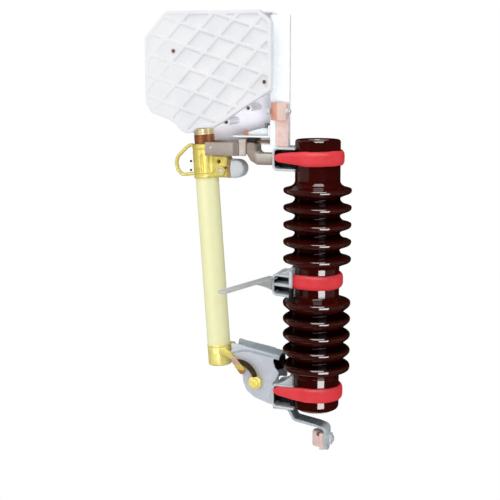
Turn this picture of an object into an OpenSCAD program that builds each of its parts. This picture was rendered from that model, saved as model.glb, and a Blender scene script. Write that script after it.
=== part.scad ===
// Dropout fuse cutout: a porcelain post with three strapped clamps, a hinged fuse
// holder, the contact that it closes into and the arc chute above that contact.
//
// Everything is drawn with the post's axis as X = Y = 0 and the post's foot near Z = 0,
// the fuse holder on the -X side. in_frame() then moves each piece so that the origin
// is in the middle of the mounting arm's flat underside, where the cutout is held.

/* [Post] */
// Height of the post's top
post_top = 367; // [365:1:371]
// Radius of the plain neck under the straps
neck_r = 29.4; // [28.8:0.1:30]
// Radius of the thicker foot
foot_r = 30.5; // [30:0.1:31]
// Radius of the post between the lower sheds
lower_core_r = 32.8; // [31:0.2:34]
// Radius of the sheds at their rims
shed_r = 44.4; // [42:0.2:45]
// Height of the lowest rim of the upper group
upper_sheds_z = 213.3; // [213.3:0.1:214]
// Height of the lowest rim of the lower group
lower_sheds_z = 68.7; // [68.7:0.1:69]
// Spacing of the upper sheds
upper_pitch = 22.5; // [22:0.1:22.6]
// Spacing of the lower sheds
lower_pitch = 21.1; // [20.6:0.1:21.1]
// Number of sheds in each group
sheds = 5; // [4:1:5]

/* [Straps and clamps] */
// Thickness of each coated strap
strap_t = 4.6; // [4:0.1:5]
// Height of a strap where it rounds the post
strap_h = 19; // [17:0.5:20]
// Height of the top strap's middle
top_strap_z = 343.5; // [342:0.5:345]
// Height of the middle strap's middle
mid_strap_z = 184; // [182:0.5:185]
// Height of the bottom strap's middle
bottom_strap_z = 34.5; // [33:0.5:35]
// Distance from the post's axis to the back of each clamp's web
web_x = 55.5; // [55:0.5:56]
// Thickness of the clamps' cast walls
clamp_t = 3; // [2.5:0.5:3.5]

/* [Mounting arm] */
// Length of the arm from the clamp to its end
arm_len = 124; // [118:1:128]
// Width of the arm
arm_w = 13; // [12:0.5:15]
// Thickness of the arm
arm_t = 3; // [2.5:0.5:4]
// Radius of the bolt hole
arm_hole_r = 4.25; // [3.25:0.25:4.25]

/* [Fuse holder] */
// Outer radius of the glass fibre tube
tube_r = 15.4; // [15:0.1:15.8]
// Wall of the tube
tube_wall = 5; // [4:0.5:6]
// Lean of the tube away from the post
tube_tilt = 3.95; // [3.8:0.05:4.1]
// Radius of the hinge pin
pin_r = 4; // [3.5:0.5:4.5]
// Radial clearance of the trunnion arms on the hinge pin
pin_play = 0.06; // [0.04:0.01:0.08]

/* [Arc chute] */
// Thickness of the moulded walls
chute_wall = 2.6; // [2.2:0.1:3]
// Half the width of the chute over its side walls
chute_half = 33; // [32:0.5:34]
// Height of the chute's top
chute_top = 530; // [525:1:540]
// Height of the ribs on the chute's sides
rib_h = 1.4; // [1:0.1:2]
// Width of the ribs
rib_w = 3.2; // [2.4:0.1:3.6]

/* [Hinge channel] */
// Half the width of the hinge channel over its cheeks
cheek_y = 15; // [14.5:0.1:15]
// Thickness of the cheeks and of the web that joins them
cheek_t = 3; // [2.5:0.1:3]

/* [Lower terminal] */
// Radius of the hole for the line's conductor
wire_r = 4; // [3:0.25:4.25]

/* [Hidden] */
$fn = 64;

// The bare foot stands this far above Z = 0, and its glaze starts a little higher.
foot_z = 7.6;
foot_h = 2;
post_gap = 0.3;
// Each strap's legs close in to the web by this angle.
leg_turn = 12;

// The arm starts at this point of the middle clamp's web and runs to the front.
arm_root = [-web_x, -11, 185.5];
arm_turn = 255;
arm_hole_at = arm_len - 11;
arm_pad_at = arm_len - 36;
arm_pad = arm_root + arm_pad_at * [cos(arm_turn), sin(arm_turn), 0] - [0, 0, arm_t / 2];

// The hinge axis runs along Y through this point of the X-Z plane.
pivot = [-78.5, 42.5];
// The tube's axis passes through this point, leaning by tube_tilt.
tube_foot = [-134.4, 59];
ferrule_h = 28;
ferrule_r = tube_r + 0.3;
casting_z = 255;
casting_h = 45;
casting_r = tube_r + 1.5;
sleeve_h = 12;
cap_h = 9;
latch_pin_at = [-129, 323.5];
latch_pin_r = 3.6;
sleeve_r = 13.4;
arm_y = cheek_y + 0.8;
arm_plate_t = 4;
// The link's clamp and screw stand on the near arm's face.
link_y = -arm_y - arm_plate_t;
screw_flange_r = 8.6;

// The copper riser and the frame above the post.
channel_x0 = -62;
channel_x1 = -36;
channel_y = -10;
channel_depth = 7;
sheet_t = 2.5;

// The contact's fingers lie this far from the fuse plane.
finger_y = 17;
finger_t = 1.6;
finger_z0 = 344;
finger_z1 = 361.5;
boss_spots = [[-62, 440], [-86.5, 406.5], [-116.5, 388]];
screw_spots = concat(boss_spots, [[-185, 479]]);
boss_end = 9 - chute_half;
screw_r = 2.8;

// ---------------------------------------------------------------- helpers

module in_frame() {
    translate(-arm_pad) children();
}

// Draws a shape of the X-Z plane as a plate between two values of Y.
module xz_plate(y0, y1) {
    translate([0, y1, 0]) rotate([90, 0, 0]) linear_extrude(height = y1 - y0) children();
}

// A round bar along Y between two values of Y, at a point of the X-Z plane.
module y_bar(at, r, y0, y1) {
    translate([at[0], y1, at[1]]) rotate([90, 0, 0]) cylinder(h = y1 - y0, r = r);
}

// A round or six-sided bar along X between two values of X.
module x_bar(x0, x1, y, z, r, sides = 64) {
    translate([x0, y, z]) rotate([0, 90, 0]) cylinder(h = x1 - x0, r = r, $fn = sides);
}

// A box between two corners.
module block(a, b) {
    translate(a) cube(b - a);
}

// Draws its children and their mirror image on the other side of the fuse plane.
module both_sides() {
    for (side = [-1, 1]) scale([1, side, 1]) children();
}

// Puts a shape drawn along +Z from its foot onto the tube's leaning axis.
module on_tube() {
    translate([tube_foot[0], 0, tube_foot[1]]) rotate([0, -tube_tilt, 0]) children();
}

function unit(v) = v / norm(v);

// The points of an arc that rounds the corner b between its neighbours a and c.
function corner_arc(a, b, c, r, steps) =
    let (
        u = unit(a - b),
        v = unit(c - b),
        half = acos(u * v) / 2,
        reach = min(r / tan(half), 0.45 * min(norm(a - b), norm(c - b))),
        radius = reach * tan(half),
        centre = b + unit(u + v) * radius / sin(half),
        from = b + u * reach - centre,
        to = b + v * reach - centre,
        start = atan2(from[1], from[0]),
        turn = atan2(to[1], to[0]) - start,
        sweep = turn > 180 ? turn - 360 : turn < -180 ? turn + 360 : turn
    )
    [for (k = [0 : steps]) let (a = start + sweep * k / steps) centre + radius * [cos(a), sin(a)]];

// An outline with every corner rounded to about the radius r.
function rounded(pts, r, steps = 5) = let (n = len(pts))
    [for (i = [0 : n - 1]) each corner_arc(pts[(i + n - 1) % n], pts[i], pts[(i + 1) % n], r, steps)];

// ---------------------------------------------------------------- porcelain post

// A shed bulges out from the post by 1 / (1 + (h / reach)^power), h being the height
// from its rim, with the bulge's tail cut off where it falls below this share.
shed_tail = 0.12;

// [reach, power] above and below the rims, and for the faces next to the clamps.
upper_above = [2.7, 1.6];
upper_below = [8.3, 5.4];
lower_above = [6.5, 2.8];
lower_below = [8.4, 2.8];
lower_last_above = [6, 4.5];
lower_first_below = [8.3, 4.6];

function bulge(h, side) = (1 / (1 + pow(h / side[0], side[1])) - shed_tail) / (1 - shed_tail);
function run_out(side) = side[0] * pow(1 / shed_tail - 1, 1 / side[1]);

// Half the outline of one shed, down from where it leaves the post above its rim to
// where it joins the post below, over a core of the radius core[0] above and core[1] below.
function shed_outline(z, above, below, core, steps = 9) = concat(
    [[neck_r - 4, z + run_out(above)]],
    [for (k = [steps : -1 : 1]) let (h = run_out(above) * k / steps)
        [core[0] + (shed_r - core[0]) * bulge(h, above), z + h]],
    [[shed_r, z]],
    [for (k = [1 : steps]) let (h = run_out(below) * k / steps)
        [core[1] + (shed_r - core[1]) * bulge(h, below), z - h]],
    [[neck_r - 4, z - run_out(below)]]
);

module insulator() {
    glaze_z = foot_z + foot_h;
    foot_round = 5.6;
    top_round = 3;
    foot_top = 56.4;
    last = sheds - 1;
    color([0.19, 0.05, 0.04]) union() {
        difference() {
            rotate_extrude() polygon(concat(
                [[0, glaze_z]],
                [for (a = [-90 : 18 : 0])
                    [foot_r - foot_round + foot_round * cos(a), glaze_z + foot_round * (1 + sin(a))]],
                [[foot_r, foot_top - 1], [neck_r, foot_top]],
                [for (a = [0 : 22.5 : 90])
                    [neck_r - top_round * (1 - cos(a)), post_top - top_round * (1 - sin(a))]],
                [[0, post_top]]
            ));
            translate([0, 0, post_top - 4]) cylinder(h = 5, r1 = 16, r2 = 19);
        }
        translate([0, 0, lower_sheds_z]) cylinder(h = last * lower_pitch, r = lower_core_r);
        for (k = [0 : last]) {
            rotate_extrude() polygon(shed_outline(
                upper_sheds_z + k * upper_pitch, upper_above, upper_below, [neck_r, neck_r]
            ));
            rotate_extrude() polygon(shed_outline(
                lower_sheds_z + k * lower_pitch,
                k == last ? lower_last_above : lower_above,
                k == 0 ? lower_first_below : lower_below,
                [k == last ? neck_r : lower_core_r, k == 0 ? neck_r : lower_core_r]
            ));
        }
    }
}

module foot_ring() {
    color([0.86, 0.82, 0.72]) translate([0, 0, foot_z]) difference() {
        cylinder(h = foot_h, r = neck_r - 6.5);
        translate([0, 0, -1]) cylinder(h = foot_h + 2, r = 14);
    }
}

// ---------------------------------------------------------------- straps

// A hairpin strap: a half ring round the post and two straight legs that close in
// towards the clamp and grow narrower, ending at the distance end_x from the post's axis.
module strap(z, end_x, post_r) {
    strap_mid_r = post_r + 0.4 + strap_t / 2;
    overlap = 3;
    far = 80;
    leg_len = (end_x - strap_mid_r * sin(leg_turn)) / cos(leg_turn) + overlap;
    tip_h = strap_h * (1 - 0.4 * leg_len / 55);
    color([0.87, 0.22, 0.26]) translate([0, 0, z]) union() {
        difference() {
            translate([0, 0, -strap_h / 2]) cylinder(h = strap_h, r = strap_mid_r + strap_t / 2);
            translate([0, 0, -strap_h]) cylinder(h = strap_h * 2, r = strap_mid_r - strap_t / 2);
            translate([0, 0, -strap_h]) linear_extrude(height = strap_h * 2) polygon([
                [0, 0], [-far * sin(leg_turn), far], [-far, far], [-far, -far], [-far * sin(leg_turn), -far]
            ]);
        }
        both_sides() rotate([0, 0, leg_turn - 180])
            translate([-overlap, strap_t / 2 - strap_mid_r, 0]) rotate([90, 0, 0])
            linear_extrude(height = strap_t) polygon([
                [0, -strap_h / 2 + 0.02], [leg_len, -tip_h / 2], [leg_len, tip_h / 2], [0, strap_h / 2 - 0.02]
            ]);
    }
}

module strap_top() { strap(top_strap_z, web_x - clamp_t - post_gap, neck_r); }
module strap_mid() { strap(mid_strap_z, 22.8, neck_r); }
module strap_bottom() { strap(bottom_strap_z, web_x - clamp_t - post_gap, foot_r); }

// ---------------------------------------------------------------- clamps

// A cast clamp: a web, flanges that flare from it to the post, a rib between them and
// a saddle on the post that rises past the flanges, stiffened by two triangular gussets.
module clamp_body(z0, z1, web_half, flare_half, saddle_z1, post_r) {
    saddle_h = saddle_z1 - z0;
    flare_x = -24;
    saddle_r = post_r + post_gap + 3.4;
    rib_half = 2;
    plan = [[-web_x, -web_half], [flare_x, -flare_half], [flare_x, flare_half], [-web_x, web_half]];
    difference() {
        union() {
            block([-web_x, -web_half, z0], [-web_x + clamp_t, web_half, z1]);
            for (z = [z0, z1 - clamp_t])
                translate([0, 0, z]) linear_extrude(height = clamp_t) polygon(plan);
            block([-web_x, -rib_half, z0], [-24, rib_half, z1]);
            intersection() {
                translate([0, 0, z0]) cylinder(h = saddle_h, r = saddle_r);
                block([-saddle_r - 1, -18, z0 - 1], [-18, 18, saddle_z1 + 1]);
            }
            if (saddle_z1 > z1 + 2) both_sides() xz_plate(web_half - 5, web_half - 2)
                polygon([[-web_x + 1, z1 - 1], [-web_x + 2 + saddle_z1 - z1, saddle_z1 - 1],
                         [-27, saddle_z1 - 1], [-27, z1 - 1]]);
        }
        translate([0, 0, z0 - 5]) cylinder(h = saddle_h + 10, r = post_r + post_gap);
    }
}

module clamp_top() {
    color([0.76, 0.79, 0.81]) clamp_body(326.5, 357, 20, 25, 357, neck_r);
}

module clamp_mid() {
    color([0.76, 0.79, 0.81]) difference() {
        union() {
            clamp_body(162.8, 192, 20, 31, 201, neck_r);
            translate([0, 0, 176]) linear_extrude(height = 3.6) polygon([
                [-web_x + 1, -20], [-24, -31], [-24, 31], [-web_x + 1, 20]
            ]);
            both_sides() block([-28, 25, 162.8], [-24, 35.6, 199]);
        }
        translate([0, 0, 150]) cylinder(h = 60, r = neck_r + post_gap);
    }
}

module clamp_bottom() {
    color([0.76, 0.79, 0.81]) clamp_body(10.5, 43, 20, 25, 55.5, foot_r);
}

module mounting_arm() {
    rib_t = 5;
    color([0.76, 0.77, 0.78]) translate(arm_root) difference() {
        rotate([0, 0, arm_turn]) union() {
            difference() {
                union() {
                    translate([0, -arm_w / 2, -arm_t / 2]) cube([arm_len - arm_w / 2, arm_w, arm_t]);
                    translate([arm_len - arm_w / 2, 0, -arm_t / 2]) cylinder(h = arm_t, r = arm_w / 2);
                }
                translate([arm_hole_at, 0, -arm_t]) cylinder(h = arm_t * 2, r = arm_hole_r);
            }
            // The upright rib under the arm's root.
            translate([0, rib_t / 2, 0]) rotate([90, 0, 0]) linear_extrude(height = rib_t) polygon([
                [-6, -21.5], [0, -18.5], [5, -15], [10, -12], [16, -9], [22, -6.3], [29, -3.4], [36, -1],
                [36, 1.4], [22, 2], [0, 2.7], [-6, 3]
            ]);
        }
        block([0, -40, -40], [60, 60, 40]);
    }
}

// ---------------------------------------------------------------- upper frame

// A shallow channel, open to the back, that stands on the top clamp.
module frame_channel() {
    color([0.88, 0.9, 0.91]) difference() {
        block([channel_x0, channel_y, 357], [channel_x1, channel_y + channel_depth, chute_top - 6]);
        block([channel_x0 + sheet_t, channel_y + sheet_t, 350],
              [channel_x1 - sheet_t, channel_y + channel_depth + 1, chute_top]);
    }
}

module riser_strip() {
    strip_t = 3.4;
    color([0.92, 0.85, 0.85]) {
        block([-53, channel_y - strip_t, 357], [channel_x1 + 0.5, channel_y, 414]);
    }
}

// The copper clamp has a ridge down its front and holds a conductor on the riser.
module riser_clamp() {
    front = channel_y - 3.4;
    color([0.9, 0.74, 0.69]) translate([0, 0, 391]) linear_extrude(height = 22.5) polygon([
        [-58.5, front], [-58.5, front - 3], [-48.5, front - 8], [-38, front - 5], [-38, front]
    ]);
}

module riser_bolt() {
    bolt_y = channel_y - 8;
    bolt_z = 402.5;
    color([0.8, 0.82, 0.84]) {
        x_bar(-38, -34, bolt_y, bolt_z, 4.4);
        x_bar(-34.01, -31.5, bolt_y, bolt_z, 3);
        x_bar(-63, -58.5, bolt_y, bolt_z, 5.2, 6);
    }
}

// The bracket that reaches from the frame to over the contact.
module gusset() {
    shelf_z = 368;
    color([0.76, 0.79, 0.8]) difference() {
        union() {
            block([-114, channel_y, shelf_z], [channel_x0, 12, shelf_z + 2.4]);
            block([channel_x0 - 2.4, channel_y, shelf_z], [channel_x0, 12, shelf_z + 16]);
            xz_plate(-2, 1) polygon([
                [-110, shelf_z + 2.3], [channel_x0 - 1, shelf_z + 2.3], [channel_x0 - 1, shelf_z + 12],
                [channel_x0 - 14, shelf_z + 12]
            ]);
        }
    }
}

module gusset_bolt() {
    color([0.7, 0.73, 0.75]) translate([-70.2, 6.4, 370.4]) {
        cylinder(h = 5, r = 5.3, $fn = 6);
        translate([0, 0, 4.99]) cylinder(h = 11, r = 3);
    }
}

module contact_block() {
    color([0.3, 0.2, 0.18]) block([-93, -11, finger_z1], [-80, 11, 368]);
}

module contact_strip() {
    color([0.72, 0.45, 0.36]) block([-80, -9, finger_z1], [channel_x0, 9, finger_z1 + 2.4]);
}

// The blade that carries the current from the fingers down to the top clamp.
module contact_blade() {
    color([0.7, 0.67, 0.65]) xz_plate(-14, 14) polygon(rounded([
        [-93, finger_z1], [-80.5, finger_z1], [-80.5, 351], [-77, 347.5], [-web_x, 347.5],
        [-web_x, 333], [-78, 333], [-87, 338], [-93, 348]
    ], 4));
}

// One spring finger: a flat plate beside the head with its stop rivet, thickened where
// it folds to the clip.
module finger() {
    color([0.71, 0.67, 0.65]) {
        block([-148, finger_y, finger_z0], [-112, finger_y + finger_t, finger_z1]);
        block([-113, finger_y - 1.5, finger_z0], [-103, finger_y + finger_t, finger_z1 + 0.5]);
        block([-104.5, 11, finger_z0], [-102.4, finger_y + finger_t, finger_z1 + 0.5]);
        y_bar([-140, 354], 2.2, finger_y + finger_t - 0.1, finger_y + finger_t + 1.4);
    }
}

module finger_near() { scale([1, -1, 1]) finger(); }
module finger_far() { finger(); }

module finger_clip() {
    color([0.76, 0.74, 0.7]) difference() {
        block([-102.4, -16, finger_z0], [-93, 16, 366]);
        block([-100, -13, finger_z0 - 1], [-92, 13, finger_z1]);
    }
}

// ---------------------------------------------------------------- arc chute

chute_middle = [-140, 455];
chute_points = [
    [-225, 413], [-216.5, 399], [-193, 391.3], [-183, 384.5], [-176, 377], [-169.5, 373.3],
    [-160.5, 374], [-154.5, 380], [-131, 381.5], [-117, 389], [-91, 406.5], [-53, 430],
    [-53, chute_top - 14], [-70, chute_top], [-196, chute_top], [-225, chute_top - 34]
];
// The ribs cross at this point, and run on at these slopes and spacings.
rib_crossing = [-131, 419.5];
falling_ribs = -18;
falling_pitch = 26.9;
rising_ribs = 46.5;
rising_pitch = 32.8;

// The chute's outline, scaled about its middle.
module chute_outline(k) {
    translate(chute_middle) scale(k) translate(-chute_middle) polygon(rounded(chute_points, 7, 3));
}

// Diagonal ribs in one direction, a fixed distance apart up or along the side.
module rib_family(turn, step, count) {
    for (k = [-count : count])
        translate(rib_crossing + k * step) rotate(turn)
            translate([-200, -rib_w / 2]) square([400, rib_w]);
}

// One moulded side: an outer wall, a rim turned inwards round it, and diagonal ribs.
module chute_side() {
    rim = 9;
    color([0.95, 0.955, 0.965]) {
        xz_plate(chute_half - chute_wall, chute_half) chute_outline(1);
        xz_plate(chute_half - rim, chute_half - chute_wall + 0.1) difference() {
            chute_outline(1);
            chute_outline(0.965);
        }
        xz_plate(chute_half - 0.1, chute_half + rib_h) intersection() {
            chute_outline(0.965);
            union() {
                rib_family(falling_ribs, [0, falling_pitch], 6);
                rib_family(rising_ribs, [rising_pitch, 0], 8);
            }
        }
        xz_plate(chute_half - 0.1, chute_half + rib_h) difference() {
            chute_outline(1);
            chute_outline(0.97);
        }
    }
}

module chute_near() {
    difference() {
        scale([1, -1, 1]) chute_side();
        for (at = screw_spots) y_bar(at, screw_r + post_gap, -chute_half - 5, -chute_half + 10);
    }
}
module chute_far() { chute_side(); }

// The insulating plate that carries the chute on the frame.
module chute_plate() {
    color([0.9, 0.92, 0.955]) xz_plate(21.9, 24) polygon(rounded([
        [-150, 357], [channel_x0, 357], [channel_x0, 505], [-110, 505], [-150, 400]
    ], 4));
}

module chute_bosses() {
    boss_r = 4.5;
    color([0.8, 0.81, 0.83]) {
        y_bar(boss_spots[0], boss_r, boss_end, channel_y);
        for (k = [1, 2]) y_bar(boss_spots[k], boss_r, boss_end, 21.9);
    }
}

module chute_screws() {
    color([0.55, 0.5, 0.5]) for (at = screw_spots) y_bar(at, screw_r, -chute_half - 2.4, boss_end);
}

// ---------------------------------------------------------------- lower hinge

// One cheek: round below the hinge, with a scoop that clears the lowest shed.
module cheek(tip) {
    difference() {
        polygon(rounded([
            [-113, 84], [-98, 88.4], [-87, 88.5], [-43, 80.5], [-43, 58], [-52, 46], [-web_x, 44],
            [-web_x, 12], [-62, 14], [-81, 20.5], [-92, 29], [-97, 40], [-98, 50], [-101, 58],
            tip, [-116, 78]
        ], 5));
        translate([-41, 69]) circle(r = 14);
    }
}

// A channel open below: two cheeks and the web that joins them over the top.
module hinge_channel() {
    color([0.82, 0.84, 0.86]) difference() {
        union() {
            xz_plate(-cheek_y, -cheek_y + cheek_t) cheek([-112, 64]);
            xz_plate(cheek_y - cheek_t, cheek_y) union() {
                cheek([-112, 64]);
                polygon([[-113, 84], [-111.5, 93.5], [-104, 91.5], [-60, 83.9], [-60, 80]]);
            }
            xz_plate(-cheek_y, cheek_y) polygon([
                [-112, 84.2], [-98, 88.3], [-87, 88.4], [-46, 81],
                [-46, 78], [-87, 85.4], [-98, 85.3], [-112, 81.2]
            ]);
        }
        y_bar(pivot, pin_r, -20, 20);
        on_tube() cylinder(h = 200, r = ferrule_r + 5.6);
    }
}

module hinge_pin() {
    pin_y = arm_y + arm_plate_t;
    color([0.8, 0.7, 0.35]) {
        y_bar(pivot, pin_r, -pin_y + 0.5, pin_y);
        y_bar(pivot, 7, pin_y, pin_y + 3);
    }
}

module lower_strap() {
    color([0.68, 0.68, 0.7]) xz_plate(-13, 12) polygon(rounded([
        [-web_x, 10.5], [-33, 10.5], [-25, -4], [4, -9.5], [18.5, -14], [18.5, -46],
        [14.5, -46], [14.5, -16.5], [3, -13.5], [-28, -8], [-36, 6.5], [-web_x, 6.5]
    ], 3, 4));
}

module lower_terminal() {
    color([0.9, 0.74, 0.72]) difference() {
        translate([0, 0, -45.5]) linear_extrude(height = 25) polygon([
            [14.5, -9.5], [2, -9.5], [-6, -3], [-6, 5], [2, 11], [14.5, 11]
        ]);
        y_bar([7, -27], wire_r, -20, 20);
    }
}

module lower_bolt() {
    color([0.78, 0.8, 0.82]) {
        x_bar(18.5, 20, 0, -31, 9.5);
        x_bar(20, 23.5, 0, -31, 8, 6);
        x_bar(23.5, 25.5, 0, -31, 4);
    }
}

// ---------------------------------------------------------------- fuse holder

module fuse_tube() {
    color([0.96, 0.95, 0.75]) on_tube() difference() {
        translate([0, 0, 8]) cylinder(h = casting_z + casting_h - 9, r = tube_r);
        translate([0, 0, 5]) cylinder(h = 320, r = tube_r - tube_wall);
    }
}

module tube_sleeve() {
    color([0.56, 0.4, 0.28]) on_tube() translate([0, 0, casting_z + casting_h]) difference() {
        cylinder(h = sleeve_h, r = sleeve_r);
        translate([0, 0, -1]) cylinder(h = sleeve_h + 2, r = tube_r - tube_wall);
    }
}

module tube_cap() {
    rim = 1.2;
    color([0.85, 0.77, 0.55]) on_tube() translate([0, 0, casting_z + casting_h + sleeve_h]) {
        cylinder(h = cap_h - rim, r = sleeve_r);
        translate([0, 0, cap_h - rim]) cylinder(h = rim, r1 = sleeve_r, r2 = sleeve_r - rim);
    }
}

module head_casting() {
    flutes = 18;
    color([0.8, 0.7, 0.3]) on_tube() translate([0, 0, casting_z]) difference() {
        cylinder(h = casting_h, r = casting_r);
        translate([0, 0, -1]) cylinder(h = casting_h, r = tube_r);
        translate([0, 0, casting_h - 2]) cylinder(h = 4, r = tube_r - tube_wall);
        for (k = [0 : flutes - 1]) rotate([0, 0, k * 360 / flutes])
            translate([casting_r + 1.2, 0, 6]) cylinder(h = casting_h - 14, r = 1.9, $fn = 24);
    }
}

module pull_ring() {
    outer = [
        [-165, 356], [-175, 359], [-182, 355], [-196, 341], [-198.5, 332], [-196, 321], [-188, 313], [-165, 316]
    ];
    inner = [[-150, 351], [-174, 353.6], [-178.5, 351], [-191, 339], [-193.2, 332], [-191, 323.5],
             [-185.6, 318.4], [-150, 321]];
    color([0.84, 0.75, 0.4]) difference() {
        xz_plate(-2.6, 2.6) difference() {
            polygon(rounded(outer, 4));
            polygon(rounded(inner, 3));
        }
        on_tube() cylinder(h = 400, r = casting_r);
    }
}

module latch_arm() {
    color([0.82, 0.72, 0.36]) difference() {
        xz_plate(-10, 10) polygon(rounded([
            [-148, 343], [-121, 343], [-117, 334], [-119, 314.5], [-148, 314.5]
        ], 4));
        on_tube() cylinder(h = 400, r = casting_r);
        y_bar(latch_pin_at, latch_pin_r, -12, 12);
        y_bar([-132, 335.5], 2.6, -12, 12);
        y_bar([-122.5, 327.5], 1.7, -12, 12);
    }
}

module latch_pin() {
    color([0.92, 0.92, 0.9]) y_bar(latch_pin_at, latch_pin_r, -13, 13);
}

module latch_tongue() {
    tongue_r = 12;
    color([0.74, 0.77, 0.78]) difference() {
        union() {
            xz_plate(-11.6, 11.6) translate([-125, 326.4 - tongue_r]) square([16, tongue_r * 2]);
            xz_plate(-11.6, 11.6) translate([-109, 326.4]) circle(r = tongue_r);
        }
        xz_plate(-10.05, 10.05) polygon([[-150, 300], [-116.8, 300], [-116.8, 350], [-150, 350]]);
    }
}

module ferrule() {
    color([0.8, 0.73, 0.45]) on_tube() difference() {
        union() {
            translate([0, 0, 1.5]) cylinder(h = ferrule_h - 1.5, r = ferrule_r);
            cylinder(h = 1.51, r1 = ferrule_r - 1.5, r2 = ferrule_r);
        }
        translate([0, 0, 8]) cylinder(h = ferrule_h, r = tube_r);
        translate([0, 0, -1]) cylinder(h = ferrule_h, r = tube_r - tube_wall);
    }
}

// One side arm: an ear on the ferrule and a curved plate round to an eye on the pin.
module trunnion_arm() {
    eye_r = 9;
    bend = [-105, 43];
    color([0.8, 0.7, 0.34]) difference() {
        union() {
            y_bar(pivot, eye_r, arm_y, arm_y + arm_plate_t);
            xz_plate(arm_y, arm_y + arm_plate_t) difference() {
                translate(bend) circle(r = 29.8);
                translate(bend) circle(r = 23.7);
                translate(bend + [-40, -60]) square([80, 60]);
                translate(bend + [-51, -10]) square([50, 60]);
            }
            xz_plate(7, arm_y + arm_plate_t) polygon(rounded([
                [-130, 87], [-118.5, 86.5], [-117.5, 76], [-130, 76]
            ], 3));
            xz_plate(arm_y, arm_y + arm_plate_t) polygon([
                [-126, 78], [-113.5, 84], [-104, 73.4], [-106, 65.4], [-114, 70]
            ]);
        }
        y_bar(pivot, pin_r + pin_play, 0, 30);
        on_tube() translate([0, 0, -5]) cylinder(h = 60, r = ferrule_r);
    }
}

module trunnion_arm_near() { scale([1, -1, 1]) trunnion_arm(); }
module trunnion_arm_far() { trunnion_arm(); }

module link_clamp() {
    color([0.85, 0.6, 0.4]) xz_plate(link_y - 4, link_y) polygon(rounded([
        [-113, 74], [-106, 77], [-91, 60], [-92.5, 53], [-98, 52], [-105, 59]
    ], 2));
}

// The fuse link's braided tail, clamped at one end and held by the screw at the other.
module link_tail() {
    bend = [-105, 43];
    color([0.3, 0.22, 0.14]) xz_plate(link_y - 3.5, link_y) difference() {
        translate(bend) circle(r = 30.5);
        translate(bend) circle(r = 23.7);
        translate(bend + [-40, -61]) square([80, 65.5]);
        translate(bend + [-50, -10]) square([57.5, 60]);
        polygon([[-113, 74], [-106, 77], [-91, 60], [-92.5, 53], [-98, 52], [-105, 59]]);
        translate(pivot) circle(r = screw_flange_r);
    }
}

module link_screw() {
    color([0.87, 0.8, 0.42]) difference() {
        union() {
            y_bar(pivot, screw_flange_r, link_y - 2.2, link_y);
            y_bar(pivot, 5.6, link_y - 6, link_y - 2.19);
        }
        translate([pivot[0], link_y - 6, pivot[1]]) rotate([0, 40, 0]) cube([14, 3, 1.6], center = true);
    }
}

in_frame() insulator();
in_frame() foot_ring();
in_frame() strap_top();
in_frame() strap_mid();
in_frame() strap_bottom();
in_frame() clamp_top();
in_frame() clamp_mid();
in_frame() clamp_bottom();
in_frame() mounting_arm();
in_frame() frame_channel();
in_frame() riser_strip();
in_frame() riser_clamp();
in_frame() riser_bolt();
in_frame() gusset();
in_frame() gusset_bolt();
in_frame() contact_block();
in_frame() contact_strip();
in_frame() contact_blade();
in_frame() finger_near();
in_frame() finger_far();
in_frame() finger_clip();
in_frame() chute_near();
in_frame() chute_far();
in_frame() chute_plate();
in_frame() chute_bosses();
in_frame() chute_screws();
in_frame() hinge_channel();
in_frame() hinge_pin();
in_frame() lower_strap();
in_frame() lower_terminal();
in_frame() lower_bolt();
in_frame() fuse_tube();
in_frame() tube_cap();
in_frame() tube_sleeve();
in_frame() head_casting();
in_frame() pull_ring();
in_frame() latch_arm();
in_frame() latch_pin();
in_frame() latch_tongue();
in_frame() ferrule();
in_frame() trunnion_arm_near();
in_frame() trunnion_arm_far();
in_frame() link_clamp();
in_frame() link_tail();
in_frame() link_screw();
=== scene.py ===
import functools
import math
from typing import NamedTuple

import bmesh
import bpy
import numpy as np
from mathutils.geometry import delaunay_2d_cdt
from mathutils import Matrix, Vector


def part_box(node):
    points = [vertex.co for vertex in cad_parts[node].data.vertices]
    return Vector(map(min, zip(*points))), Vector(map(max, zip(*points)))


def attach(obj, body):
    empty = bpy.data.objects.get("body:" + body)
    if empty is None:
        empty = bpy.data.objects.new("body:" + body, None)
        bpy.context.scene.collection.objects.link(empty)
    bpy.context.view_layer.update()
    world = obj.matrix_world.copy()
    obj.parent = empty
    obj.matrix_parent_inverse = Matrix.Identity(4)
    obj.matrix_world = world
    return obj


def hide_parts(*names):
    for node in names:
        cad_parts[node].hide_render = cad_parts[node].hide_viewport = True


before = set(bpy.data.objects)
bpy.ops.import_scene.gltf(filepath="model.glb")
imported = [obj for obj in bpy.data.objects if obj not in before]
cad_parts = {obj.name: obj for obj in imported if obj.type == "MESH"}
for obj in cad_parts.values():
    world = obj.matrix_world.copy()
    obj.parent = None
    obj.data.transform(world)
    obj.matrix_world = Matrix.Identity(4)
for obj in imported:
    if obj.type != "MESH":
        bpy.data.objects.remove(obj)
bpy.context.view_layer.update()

# ------------------------------------------------------------------ lengths and places
# Every shape below is drawn in millimetres about the post: its axis is X = Y = 0, its
# foot is near Z = 0, and the fuse holder is on the -X side. The camera is on the -Y side.

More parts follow.
